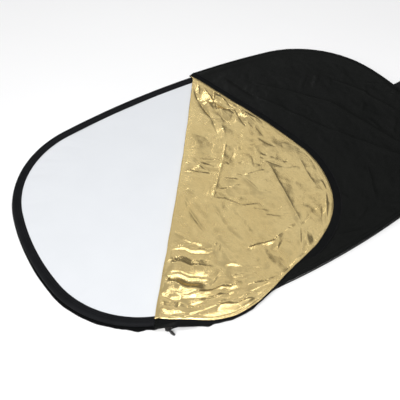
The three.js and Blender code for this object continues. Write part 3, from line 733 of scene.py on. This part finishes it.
# The foil's folds, in distances along the crease and to the right of it: x1, y1, x2, y2, half width, height,
# and lean if any.
FOIL_FOLDS = [
    # the smooth middle: long shallow creases left by folding
    (382, 182, 237, 246, 2.6, 1.1), (382, 182, 237, 246, 15, 1.5, 0.2), (384, 84, 274, 71, 2.8, 1.1),
    (384, 84, 274, 71, 10, 1.1, 0.3), (496, 76, 450, 88, 3.2, 0.9), (452, 88, 384, 84, 3.2, 1.1),
    (274, 71, 205, 108, 4, -1.1, 0.2), (207, 106, 180, 140, 4.5, -1.1, 0.2),
    (276, 18, 250, 27, 2.6, -1.1, 0.2), (251, 26, 194, 66, 2.8, -1.5, 0.3),
    (352, 112, 346, 129, 2.6, 0.9, 0.5), (347, 127, 306, 167, 2.8, 1.3, 0.5),
    (307, 164, 313, 193, 2.8, 1.1, 0.5), (346, 127, 369, 177, 2.8, 1.3, 0.5),
    (337, 90, 335, 120, 3.4, 2, 0.4), (304, 80, 314, 108, 3.2, 1.8, 0.4),
    (315, 110, 323, 125, 2.8, 1.1, 0.4), (281, 76, 284, 97, 2.4, 0.9, 0.5),
    (285, 95, 268, 130, 2.4, 1.1, 0.5), (267, 128, 276, 165, 2.4, 1.1, 0.5),
    (263, 150, 259, 184, 2.6, 0.9, 0.5), (248, 174, 247, 208, 2.8, 1.1, 0.5),
    (262, 202, 278, 219, 2.8, 1.4, 0.5), (253, 211, 256, 223, 2.4, 0.9, 0.5), (300, 16, 289, 36, 2, 0.9),
    (402, 247, 374, 257, 2.4, 0.9), (376, 256, 334, 277, 2.4, 0.9), (352, 288, 322, 299, 3.6, 1.5, 0.2),
    (325, 298, 240, 296, 3.6, 1.8, 0.2), (290, 290, 245, 289, 3, -1.3),
    # the star where three creases meet, and its streaks
    (230, 248, 264, 269, 3, -1.6, -0.2), (262, 267, 300, 293, 2.8, -1.8, -0.2),
    (236, 245, 178, 246, 3.4, 1.4, 0.2), (228, 256, 186, 262, 3.4, 1.1, 0.2),
    (222, 268, 190, 272, 3, -1.1, 0.2), (206, 213, 231, 236, 3, 1.6, 0.3),
    (184, 192, 208, 215, 3.2, 1.8, 0.4), (164, 148, 178, 172, 3.4, 2.9, 0.45),
    (176, 170, 188, 200, 3.6, 3.6, 0.45),
    # the wrinkles round the crossing beyond the middle
    (396, 173, 382, 213, 2.6, -1.6), (397, 169, 379, 159, 2.6, -1.8), (419, 163, 412, 177, 2.4, -1.2),
    (406, 162, 402, 170, 2.2, -1.2), (397, 210, 401, 220, 2.2, -1.4), (411, 184, 407, 192, 2.2, -1),
    (379, 190, 372, 213, 3.4, 0.8, 0.3), (372, 211, 382, 241, 3.4, 0.8, 0.3), (410, 144, 377, 151, 3, -0.8),
    (420, 107, 384, 101, 3, -0.8), (383, 117, 393, 127, 2.4, -1), (465, 155, 440, 194, 2.4, -1.8),
    (440, 140, 448, 152, 2.2, -1), (497, 166, 509, 179, 2.2, -1), (502, 148, 473, 167, 2.4, -1.4),
    (490, 118, 424, 119, 4, -0.8), (500, 57, 468, 67, 3.4, -0.8),
    # the crumpled patch beside the crease
    (387, 20, 367, 39, 2.4, -1.5), (368, 38, 353, 61, 2.4, -1.4), (379, 45, 367, 74, 2.4, -1),
    (353, 6, 358, 27, 2.4, -1.2), (352, 29, 351, 63, 2.4, -1.2), (347, 6, 348, 62, 3, 1, 0.4),
    (384, 30, 385, 78, 2.8, 0.8, 0.3), (372, 8, 368, 22, 2.2, 0.9, 0.3),
    # deep folds across the near side
    (189, 7, 167, 46, 2.6, 1, -0.3), (168, 44, 153, 80, 2.4, -1), (171, 82, 151, 81, 1.8, 0.8),
    (173, 88, 150, 88, 1.8, 0.9), (172, 95, 150, 95, 1.8, 0.9), (119, 104, 98, 97, 2.6, 1, 0.3),
    (100, 98, 77, 88, 2.6, 1.1, 0.3), (126, 112, 74, 112, 3, -0.5), (101, 120, 109, 150, 3, 1.2, 0.4),
    (108, 150, 112, 170, 2.6, 0.8, 0.4), (85, 153, 93, 180, 3, 1.2, 0.4), (92, 176, 97, 196, 2.8, 0.6, 0.4),
    (98, 180, 111, 207, 2.6, -0.7), (166, 160, 124, 157, 2.8, -0.6), (173, 193, 156, 181, 2.8, -0.7),
    (158, 183, 139, 165, 2.8, -0.6), (128, 148, 128, 176, 2.6, 0.5, 0.3), (92, 13, 62, 4, 2.8, 1.2),
    (8, 48, 15, 98, 3, 0.7, 0.4), (12, 94, 22, 132, 3, 0.9, 0.4), (27, 40, 33, 84, 3.4, 0.9, 0.4),
    (52, 38, 22, 34, 2.6, -0.9), (16, 84, 16, 104, 2, -0.6),
    # the gathered corner at the crease's far end
    (616, 2, 570, 18, 2.6, -1.8), (571, 17, 512, 53, 2.8, -2.4), (514, 52, 495, 58, 2.6, -1.7),
    (624, 14, 588, 18, 2.2, 1.4), (566, 58, 545, 66, 2.6, -2.1), (546, 65, 510, 83, 2.8, -2.2),
    (573, 53, 546, 91, 2.6, -2.1), (548, 89, 536, 104, 2.4, -1.7), (553, 102, 528, 112, 2.6, -2),
    (530, 111, 495, 129, 2.6, -1.8), (546, 112, 512, 150, 2.8, -1.4), (602, 56, 580, 60, 2.4, -1.7),
    (604, 60, 576, 77, 2.6, 2.4), (596, 76, 560, 92, 2.4, -1.7), (586, 86, 556, 104, 2.4, 1.8),
    (520, 128, 492, 146, 2.6, -1.1),
]

# Flat-sided tents of foil in the same frame: height, peak, and the corners round its foot.
FOIL_TENTS = [
    (5.0, (574, 49), (618, 28), (577, 54), (569, 51), (566, 21)),
    (3.4, (566, 40), (570, 24), (569, 52), (546, 54), (534, 42), (548, 26)),
    (7.0, (588, 58), (608, 52), (578, 84), (566, 74), (572, 52)),
    (7.0, (540, 74), (560, 60), (546, 102), (512, 96), (512, 80), (536, 64)),
    (4.6, (526, 136), (552, 112), (522, 158), (502, 148), (514, 120)),
    (1.8, (370, 44), (380, 26), (374, 70), (352, 62), (350, 28)),
    (1.2, (364, 38), (368, 32), (364, 46), (353, 44), (353, 32)),
    (1.0, (378, 93), (381, 90), (379, 98), (371, 96), (371, 89)),
    (2.2, (127, 122), (166, 98), (150, 130), (126, 148), (124, 140), (124, 108)),
    (1.8, (176, 204), (196, 214), (206, 206), (186, 196), (168, 190), (162, 204)),
    (2.0, (188, 258), (212, 250), (204, 274), (176, 268), (168, 252)),
    (1.6, (84, 132), (108, 120), (104, 160), (76, 152), (74, 120)),
    (1.4, (136, 196), (160, 178), (152, 214), (124, 210), (116, 184)),
]

# Folds that run straight across: the stretch to the right of the crease that each holds, how far they climb
# for each millimetre to the right, and their profile as (distance along, height) knots.
FOIL_STEPS = [
    (5, 46, 0.02, [(12, 0), (17, 0.8), (21, 2.4), (27, 2.6), (45, -1.8), (51, 0)]),
    (28, 72, 0.03, [(48, 0), (50, -0.4), (53, 0.8), (58, 0.9), (66, 3.4), (70, 3.0), (80, 0)]),
    (9, 84, 0.03, [(50, 0), (68, 2.4), (72, 2.0), (86, -2.4), (91.5, 0.2), (95, -1.0), (99, 0), (117, 2.6),
                    (133, -1.9), (146, -2.8), (152.5, -0.4), (155, -0.3), (160, -1.4), (170, 0)]),
    (52, 132, 0.33, [(26, 0), (33, 0.4), (38, 1.7), (45, -0.4), (52, 0.4), (55.5, 1.7), (61, -0.8), (75, 0)]),
    (104, 172, 0.24, [(22, 0), (28, 0.4), (39, 3.4), (43, 1.2), (56, -1.2), (70, 0)]),
]


def steps(x, y, rows):
    """Folds straight across a stretch of the foil, dying out at both sides of it."""
    out = np.zeros(x.shape)
    for first, last, climb, knots in rows:
        window = smooth(y, first - 5, first + 7) * smooth(last - y, -9, 16)
        wander = 2.6 * np.sin(y / 12.0 + first) + 1.4 * np.sin(y / 5.3 + 2 * first)
        out = out + window * through(x - climb * (y - first) + wander, *knots)
    return out


def tents(x, y, rows):
    """Flat facets that rise to a peak."""
    out = np.zeros(x.shape)
    for height, peak, *foot in rows:
        share = np.ones(x.shape)
        for (x1, y1), (x2, y2) in zip(foot, foot[1:] + foot[:1]):
            to_peak = (peak[0] - x1) * (y2 - y1) - (peak[1] - y1) * (x2 - x1)
            share = np.minimum(share, ((x - x1) * (y2 - y1) - (y - y1) * (x2 - x1)) / to_peak)
        out = out + height * np.maximum(share, 0)
    return out


def foil_relief(along, across):
    """Crumples of the gold face, strongest near the crease's far end and over the near side."""
    box = (-60, -20, 1000, 340)
    top = smooth(along, 480, 550) * smooth(150 - across, 0, 60)
    low = smooth(150 - along, 0, 50) * smooth(215 - across, 0, 60)
    across_folds = crumple(along * 1.5, across * 0.5, 24, 0.09, 11, box)
    fine = crumple(along * 1.3, across * 0.7, 13, 0.07, 12, box)
    quiet = crumple(along * 0.8, across, 46, 0.06, 15, box)
    relief = (0.28 * low + 0.05) * across_folds + (0.26 * low + 0.15 * top + 0.08) * fine + 0.5 * quiet
    relief = relief * (1 - (1 - low) * smooth(30 - across, 0, 22)) + 0.3 * bumps(along, across, 70, 13)
    relief = relief + pleats(along, across, FOIL_FOLDS)
    relief = relief + tents(along, across, FOIL_TENTS) + steps(along, across, FOIL_STEPS)
    return relief * smooth(across, 0, 12 - 5 * smooth(along, 190, 110))


# ---- the cloth sheets ----


EDGE_CROWDING = 0.94  # the power that draws a ruled grid's columns together towards the outline
COVER_PLY_GAP, FLAP_PLY_GAP = 0.7, 0.75
FLAP_CLEARANCE = 1.1  # between the cover's outer face and the foil, which settles onto it softly
SETTLE = 0.3
LOWEST_FOIL = 1.6
WALL_START = 9.0  # how far inside the outline the cover's side begins to turn down
TAPE_WIDTH, TAPE_THICKNESS, TAPE_HEIGHT = 16.0, 0.6, 0.75
REAR_INSET, REAR_OPEN_INSET = 1.6, 20.4
THREAD_INSET = 4.4


def ruled(angles, offset, columns, fold=False, reach=(-14, FOLD_LENGTH + 12)):
    """Plan grid from the crease to the outline: straight rows, closer together towards the outline."""
    ends = rim(angles, offset)
    if fold:
        ends = mirrored(ends)
    first, last = FOLD_NEAR + reach[0] * FOLD_ALONG, FOLD_NEAR + reach[1] * FOLD_ALONG
    share = np.linspace(0, 1, len(angles))[:, None]
    starts = first + (last - first) * share
    starts = starts + crease_bow(crease_frame(starts[:, 0], starts[:, 1])[0])[:, None] * FOLD_ACROSS
    across = np.linspace(0, 1, columns) ** EDGE_CROWDING
    return starts[:, None] + (ends - starts)[:, None] * across[None, :, None]


def lowered(points):
    """A grid of points, each brought down to its lowest neighbour, for a ply that lies under another."""
    padded = np.pad(points[..., 2], 1, mode="edge")
    rows, columns = points.shape[:2]
    low = np.min([padded[i : i + rows, j : j + columns] for i in range(3) for j in range(3)], axis=0)
    return stack(points[..., :2], low)


def closed_cover():
    """The two plies right of the crease, from the crease out over the hoop to the side wall."""
    angles = even_angles(FOLD_NEAR_ANGLE, FOLD_FAR_ANGLE + TURN, 330)
    plan = ruled(angles, -WALL_START, 270)
    points = stack(plan, cover_top(plan[..., 0], plan[..., 1]))
    wall = [-8.0, -7.2, -6.4, -5.6, -4.8, -4.0, -3.2, -2.5, -1.8, -1.1, -0.5, -0.1, 0.15]
    edge = rim(angles[:, None], np.array(wall)[None])
    height = cover_top(edge[..., 0], edge[..., 1])
    height[:, -4:] = COVER_TOP - np.array([0.5, 0.95, 1.6, 2.4])
    hem = 0.25 * bumps(angles[:, None] * 300, 0.0, 40, 21, 2)
    points = np.concatenate([points, stack(edge, height + hem)], 1)
    outer = surface("top_black_cloth", points, weave=points[..., :2], flip=True)
    dress(outer, BLACK_CLOTH, "cover", "top_black_ply")
    coarse = lowered(points[:, :-4])[::2, ::2]
    inner = surface("top_gold_cloth", coarse - [0, 0, COVER_PLY_GAP], weave=coarse[..., :2], flip=True)
    thicken(inner, 0.25)
    dress(inner, GOLD_FOIL, "cover", "top_gold_ply")


def flap_inset(angle):
    """How far the foil's edge lies inside the cover's outline, by the normal's angle in degrees."""
    return through(
        np.degrees(angle),
        (88, 18.5), (90, 20), (92, 22.5), (96, 21.5), (99, 21.5), (105, 23), (112, 24), (120, 25), (148, 24.7),
        (155, 26), (166, 28), (172, 29.5), (176, 34), (180, 37.5), (184, 37), (188, 34), (192, 31), (200, 29),
        (208, 26), (218, 26), (226, 27.5), (231, 28.5), (237, 27), (243, 23), (248, 20),
    )


def flap_angles(count):
    return even_angles(FOLD_FAR_ANGLE, FOLD_NEAR_ANGLE, count)[::-1]


def flap_grid(count, columns):
    """The foil's surface from the crease to its edge, with a rolled lip along the edge."""
    angles = flap_angles(count)
    plan = ruled(angles, -flap_inset(angles), columns, fold=True, reach=(1.5, FOLD_LENGTH - 8))
    along, across = crease_frame(plan[..., 0], plan[..., 1])
    span = np.linalg.norm(plan[:, -1] - plan[:, 0], axis=-1)[:, None]
    reach = (1 - np.linspace(0, 1, columns)[None] ** EDGE_CROWDING) * span
    relief = foil_relief(along, across - crease_bow(along)) * smooth(reach, 1, 12)
    z = flap_height(plan[..., 0], plan[..., 1]) + relief + 0.6 * np.exp(-(((reach - 4) / 2.2) ** 2))
    under = cover_top(plan[..., 0], plan[..., 1]) + FLAP_CLEARANCE
    over = depth(plan[..., 0], plan[..., 1]) > 2
    z = np.where(over, under + SETTLE * np.logaddexp(0, (z - under) / SETTLE), z)
    top = stack(plan, np.maximum(z, LOWEST_FOIL))
    out = unit(plan[:, -1] - plan[:, -3])
    rolls = [(0.35, 0.15), (0.6, 0.5), (0.6, 1.0), (0.3, 1.35)]
    lip = [stack(plan[:, -1] + past * out, top[:, -1, 2] - drop) for past, drop in rolls]
    return angles, np.concatenate([top, np.stack(lip, 1)], 1)


def flap():
    """The two plies left of the crease, folded back with the foil on top, and their zip tape."""
    angles, points = flap_grid(350, 226)
    foil = surface("flap_gold_cloth", points, weave=points[..., :2])
    dress(foil, GOLD_FOIL, "flap", "flap_gold_ply")
    under = lowered(points[:, :-4])[::2, ::2] - [0, 0, FLAP_PLY_GAP]
    black = surface("flap_black_cloth", under, weave=under[..., :2])
    thicken(black, 0.3)
    dress(black, BLACK_CLOTH, "flap", "flap_black_ply")
    for piece in (foil, black, *flap_tape(angles)):
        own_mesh(piece)


def flap_tape(angles):
    """The open zip half along the foil's edge: flat on the cover, and hanging down over the near side."""
    columns = 22
    inset = flap_inset(angles)
    width = np.linspace(-2.2, TAPE_WIDTH, columns)
    plan = mirrored(rim(angles[:, None], (-inset)[:, None] + width[None]))
    flat_z = flap_height(plan[..., 0], plan[..., 1]) - 1.3 - 0.2 * smooth(width, 0, 4)[None]
    ripple = 0.45 * smooth(width, 3, 14)[None] * bumps(angles[:, None] * 260, width[None] * 0.6, 46, 31, 2)
    flat = stack(plan, flat_z + ripple)
    degrees = np.degrees(angles)
    hang = smooth(degrees, 172, 190) * (1 - 0.85 * smooth(degrees, 220, 236))
    bend = 1.75 * smooth(width, -1.0, 6.0) * (1 + 0.18 * bumps(degrees * 4.4, 0.0, 60, 33, 2))[:, None]
    step = np.diff(width, prepend=width[0])
    out = width[0] + np.cumsum(np.cos(bend) * step, 1)
    down = np.cumsum(np.sin(bend) * step, 1)
    hung_plan = mirrored(rim(angles[:, None], (-inset)[:, None] + out))
    hung = stack(hung_plan, flat_z[:, :1] - down)
    grid = flat + (hung - flat) * hang[:, None, None]
    grid[..., 2] = np.maximum(grid[..., 2], TAPE_HEIGHT)
    tape = strip("flap_zip_tape", grid, TAPE_THICKNESS)
    dress(tape, TAPE, "flap", "zip_tape_flap")
    normal = normals_of(grid)
    outward = unit(grid[:, -1] - grid[:, -3])
    facing = unit(np.cross(np.gradient(grid[:, -1], axis=0), outward))
    facing = facing * np.where(facing[:, 2:] < 0, -1, 1)
    ends = slice(3, -3)
    path = grid[:, -1] - 0.2 * outward + 0.75 * facing
    chain = coil("flap_zip_coil", path[ends], outward[ends], facing[ends])
    dress(chain, COIL, "flap", "zip_coil_flap")
    row = grid[:, 5] + 0.12 * normal[:, 5]
    thread = stitches("flap_zip_stitches", row[ends], normal[:, 5][ends])
    dress(thread, THREAD, "flap")
    return tape, chain, thread


def fold_bend():
    """The two plies' rounded turn along the crease."""
    kinds = [
        ("fold_gold_bend", FOLD_OUTER, 6.5, (2, FOLD_LENGTH - 9), GOLD_FOIL, "cover_gold"),
        ("fold_black_bend", FOLD_INNER, FOLD_INNER, (-13, FOLD_LENGTH + 8), BLACK_CLOTH, "cover_black"),
    ]
    for name, radius, half, ends, paint, slot in kinds:
        along = np.linspace(*ends, 170)
        turn = np.linspace(-math.pi / 2, -3 * math.pi / 2, 13)
        wobble = 0.3 * bumps(along, 0.0, 60, 41, 2)
        out = radius * np.cos(turn)[None] * (1.1 + wobble[:, None]) + crease_bow(along)[:, None]
        plan = FOLD_NEAR + along[:, None, None] * FOLD_ALONG + out[..., None] * FOLD_ACROSS
        grid = stack(plan, FOLD_Z - fold_sag(along)[:, None] + radius * np.sin(turn)[None])
        bend = strip(name, grid, 0.25, flip=True)
        bend.data.materials.append(paint)
        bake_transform(bend)
        if radius == FOLD_OUTER:
            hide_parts("fold_roll")


def oval_grid(count, offset):
    """A square grid of points spread over the outline with no pole, and the angle of each."""
    side = np.linspace(-1, 1, count)
    u, v = np.meshgrid(side, side, indexing="ij")
    out = np.maximum(abs(u), abs(v))
    with np.errstate(divide="ignore", invalid="ignore"):
        sides, ends = np.where(u > 0, v / u, 4 + v / u), np.where(v > 0, 2 - u / v, 6 - u / v)
        turn = np.where(abs(u) > abs(v), sides, ends)
    turn = np.nan_to_num(turn) * math.pi / 4
    fine = even_angles(0, TURN, 721)
    base = np.linspace(0, TURN, 721)
    angle = np.interp(np.mod(turn, TURN), base, fine)
    edge = rim(angle, offset(angle) if callable(offset) else offset)
    return edge * out[..., None], angle


def panel():
    """The taut translucent panel, with faint puckers where the binding grips it."""
    plan, angle = oval_grid(181, -PANEL_INSET)
    x, y = plan[..., 0], plan[..., 1]
    inside = depth(x, y)
    grip = smooth(inside, 14, 30) * smooth(110 - inside, 0, 80)
    pucker = 0.32 * grip * bumps(angle * 320, inside * 0.12, 44, 51, 2)
    far_left = np.exp(-(((x + 150) / 120) ** 2)) * smooth(y, 120, 200)
    pucker = pucker + 0.45 * grip * far_left * bumps(angle * 330, inside * 0.1, 26, 52, 1)
    z = PANEL_Z - 0.25 + 0.25 * bumps(x, y, 420, 53, 2) * smooth(inside, 20, 120) + pucker
    made = surface("diffuser_cloth", stack(plan, z), weave=plan)
    thicken(made, 0.2)
    dress(made, PANEL_CLOTH, "cover", "diffuser_panel")


BINDING_SECTION = [
    # inwards from the hoop's outer edge, and height from its middle
    (18.0, 0.75), (17.5, 1.15), (15.0, 1.35), (12.0, 1.9), (10.0, 2.7), (8.3, 3.6), (6.6, 4.3), (4.8, 4.6),
    (3.1, 4.4), (1.7, 3.7), (0.7, 2.6), (0.15, 1.3), (0.0, 0.0),
]


def binding():
    """The folded ribbon round the hoop with its two rows of stitches."""
    angles = even_angles(0, TURN, 721)[:-1]
    upper = np.array(BINDING_SECTION)
    lower = upper[-2::-1] * [1, -1]
    section = np.concatenate([upper, lower])
    grid = swept(angles, np.stack([-HOOP_INSET - section[:, 0], HOOP_Z + section[:, 1]], -1))
    turn = np.linspace(0, TURN, 720, endpoint=False)
    swell = bumps(np.cos(turn)[:, None] * 390, np.sin(turn)[:, None] * 390 + section[None, :, 0], 34, 61, 2)
    hem = np.exp(-(((section[:, 0] - 12.5) / 3.0) ** 2))[None]
    grid[..., 2] += np.sign(section[:, 1])[None] * swell * (0.1 + 0.22 * hem)
    made = surface("hoop_binding", grid, wrap_rows=True, weave=strip_weave(grid), flip=True)
    thicken(made, 0.55)
    dress(made, BINDING, "cover", "rim_binding")
    for row, column in (("inner", 2), ("outer", 4)):
        path = grid[:, column] + [0, 0, 0.12]
        closed = np.concatenate([path, path[:1]])
        thread = stitches("hoop_stitches_" + row, closed, np.broadcast_to(UP, closed.shape))
        dress(thread, THREAD, "cover")


def rear():
    """The rear layer's two plies on the floor, drawn in under the hoop where the zip is open."""

    def edge(angle):
        degrees = np.degrees(angle)
        open_part = smooth(degrees, 83, 86.5) * (1 - smooth(degrees, 253, 257))
        return -REAR_INSET - REAR_OPEN_INSET * open_part

    plies = [("rear_silver_cloth", 0.32, SILVER_FOIL, "cover_silver", "rear_outer_ply", "floor"),
             ("rear_white_cloth", 1.1, WHITE_CLOTH, "cover_white", "rear_inner_ply", "rear_silver_cloth")]
    for name, z, paint, slot, node, below in plies:
        plan = oval_grid(141, edge)[0]
        x, y = plan[..., 0], plan[..., 1]
        wave = 0.12 * bumps(x, y, 120, 71, 2) * smooth(depth(x, y), 4, 20)
        made = surface(name, stack(plan, z + abs(wave)), weave=plan)
        thicken(made, 0.25)
        dress(made, paint, "cover", node)


def rear_zip():
    """The rear layer's open zip half, lying on the floor and showing past the hoop on the near side."""
    angles = even_angles(OPEN_START, OPEN_END, 420)
    degrees = np.degrees(angles)
    near = smooth(degrees, 168, 215)
    wave = smooth(degrees, 226, 236) * bumps(degrees * 4.0, 0.0, 28, 82, 2)
    edge = -7.2 + 3.0 * near + 1.6 * bumps(degrees * 4.0, 0.0, 90, 81, 2) * near + 1.6 * wave
    width = np.linspace(0, TAPE_WIDTH, 12)
    plan = rim(angles[:, None], edge[:, None] - width[None])
    lift = abs(wave)[:, None] * 1.4 * smooth(TAPE_WIDTH - width, 4, 16)[None]
    grid = stack(plan, TAPE_HEIGHT + lift)
    tape = strip("rear_zip_tape", grid, TAPE_THICKNESS)
    dress(tape, TAPE, "cover", "zip_tape_rear_open")
    outward = unit(grid[:, 0] - grid[:, 2])
    up = np.broadcast_to(UP, outward.shape)
    chain = coil("rear_zip_coil", grid[:, 0] - 0.5 * outward + 0.7 * up, outward, up)
    dress(chain, COIL, "cover", "zip_coil_rear_open")


def side_wall():
    """The closed cover's side: zipped on the near side, and a rolled seam round the far end."""
    closed = even_angles(CLOSED_START, CLOSED_END, 260)
    wave = 0.15 * bumps(closed * 300, 0.0, 40, 91, 2)[:, None, None] * rim(closed, 1)[:, None] / 400
    out = np.concatenate([np.stack([np.cos(closed), np.sin(closed)], -1), np.zeros((len(closed), 1))], -1)
    up = np.broadcast_to(UP, out.shape)
    top = [(-0.1, COVER_TOP - 1.9), (0.25, COVER_TOP - 2.6), (0.2, HOOP_Z + 3.2), (0.0, HOOP_Z + 2.2)]
    rear = [(0.0, HOOP_Z - 2.2), (0.2, HOOP_Z - 3.2), (0.2, 2.0), (-0.2, 0.9), (-1.2, 0.65)]
    for half, section in (("top", top), ("rear", rear)):
        grid = swept(closed, section)
        grid[..., :2] += wave
        made = strip("closed_tape_" + half, grid, 0.5, flip=True)
        dress(made, TAPE, "cover", f"zip_tape_{half}_closed")
    for half, side in (("top", 1), ("rear", -1)):
        path = stack(rim(closed, -0.4), HOOP_Z + side * 1.0)
        chain = coil("closed_coil_" + half, path, up * side, out, reach=1.05, rise=0.6, wire=0.3)
        dress(chain, COIL, "cover", f"zip_coil_{half}_closed")
    sewn = even_angles(SEWN_START, SEWN_END, 420)
    section = [
        (-0.3, COVER_TOP - 1.7), (0.2, COVER_TOP - 2.8), (0.35, HOOP_Z + 2.2), (0.45, HOOP_Z + 1.2),
        (0.95, HOOP_Z + 0.8), (1.2, HOOP_Z), (0.95, HOOP_Z - 0.8), (0.45, HOOP_Z - 1.2), (0.35, HOOP_Z - 2.2),
        (0.2, 2.2), (-0.2, 1.0), (-1.4, 0.6),
    ]
    grid = swept(sewn, section)
    wave = 0.3 * bumps(sewn * 300, 0.0, 34, 92, 3)[:, None]
    grid[..., 2] += wave * np.array([1, 1, 1, 1, 1, 1, 1, 0.8, 0.6, 0.3, 0, 0])[None]
    seam = strip("side_seam", grid, 0.5, flip=True)
    dress(seam, BLACK_CLOTH, "cover", "seam_edge")
    top = even_angles(deg(252), SEWN_END, 900)
    place = rim(top, -THREAD_INSET)
    path = stack(place, cover_top(place[:, 0], place[:, 1]) + 0.1)
    thread = stitches("top_edge_stitches", path, np.broadcast_to(UP, path.shape))
    dress(thread, THREAD, "cover")


def loop():
    """The hanging loop: one strip of webbing doubled into a drop, and its sewn tail."""
    low, high = cad("hanging_loop")
    root, tip = low[0], high[0]
    middle, half_width, half_height = (low[1] + high[1]) / 2, (high[1] - low[1]) / 2, (high[2] - low[2]) / 2
    thickness = 1.2
    radius = half_height - thickness / 2
    centre_x = tip - half_height
    places = np.linspace(root + 0.4, centre_x - 1, 16)
    lower = [(x, -0.75 - (radius - 0.75) * float(smooth(x, root + 3, centre_x - 4))) for x in places]
    turn = np.linspace(-math.pi / 2, math.pi / 2, 13)
    nose = [(centre_x + radius * math.cos(a), radius * math.sin(a)) for a in turn]
    path = np.array(lower + nose + [(x, -z) for x, z in lower[::-1]])
    quarter = [(-1, -0.3), (-0.985, -0.5), (-0.95, -0.5), (-0.6, -0.5), (-0.2, -0.5)]
    under = quarter + [(-x, z) for x, z in quarter[::-1]]
    edge = np.array(under + [(x, -z) for x, z in under[::-1]])
    ahead = unit(np.gradient(path, axis=0))
    normal = np.stack([-ahead[:, 1], ahead[:, 0]], -1)
    plane = path[:, None] + normal[:, None] * edge[None, :, 1:] * thickness
    across = middle + half_width * edge[:, 0]
    grid = np.stack([plane[..., 0], np.broadcast_to(across, plane.shape[:2]), HOOP_Z + plane[..., 1]], -1)
    weave = strip_weave(np.concatenate([grid, grid[:, :1]], 1))[:, :-1]
    strap = surface("loop_strap", grid, wrap_columns=True, weave=weave, flip=True)
    cap_ends(strap, grid.shape[0], grid.shape[1])
    dress(strap, WEBBING, "loop", "hanging_loop")
    (left, near, _), (_, far, _) = cad("loop_anchor")
    profile = [(-1.4, 0.6), (-0.9, 1.15), (-0.2, 1.35), (0.6, 1.35), (1.6, 1.3)]
    profile = profile + [(x, -z) for x, z in profile[::-1]]
    across = np.linspace(near + 0.4, far - 0.4, 14)
    grid = np.array([[(left + x, y, HOOP_Z + z) for y in across] for x, z in profile])
    anchor = strip("loop_sewn_tail", grid, 0.4, wrap_rows=True)
    dress(anchor, WEBBING, "cover", "loop_anchor")
    for number, inwards in enumerate((6.5, 9.5)):
        line = np.stack([np.full(26, left - inwards), np.linspace(near + 1, far - 1, 26), np.zeros(26)], -1)
        line[:, 2] = cover_top(line[:, 0], line[:, 1]) + 0.15
        up = np.broadcast_to(UP, line.shape)
        dress(stitches(f"loop_tack_{number}", line, up, 2.2, 0.3, 0.32), THREAD, "cover")


def cap_ends(piece, rows, columns):
    """Closes the first and last ring of a tube mesh."""
    mesh = bmesh.new()
    mesh.from_mesh(piece.data)
    mesh.verts.ensure_lookup_table()
    mesh.faces.new([mesh.verts[i] for i in range(columns)])
    mesh.faces.new([mesh.verts[(rows - 1) * columns + i] for i in range(columns)][::-1])
    bmesh.ops.recalc_face_normals(mesh, faces=mesh.faces[:])
    mesh.to_mesh(piece.data)
    mesh.free()


def hardware():
    """The CAD's own metal pieces, with softened edges and their finishes."""
    finishes = {
        "slider_body": LACQUER, "pull_tab": LACQUER, "zip_start_stop": LACQUER, "zip_end_stop": LACQUER,
        "spring_band": STEEL, "band_sleeve": BRASS, "band_rivet_1": STEEL, "band_rivet_2": STEEL,
    }
    for name, paint in finishes.items():
        node = frame["nodes"][name]
        node.data.materials.clear()
        node.data.materials.append(paint)
        if paint is LACQUER:
            bevel = node.modifiers.new("softened", "BEVEL")
            bevel.width, bevel.segments, bevel.limit_method = 0.22 * MM, 3, "ANGLE"
            bevel.angle_limit = deg(35)


binding()
panel()
rear()
rear_zip()
closed_cover()
side_wall()
fold_bend()
flap()
loop()
hardware()
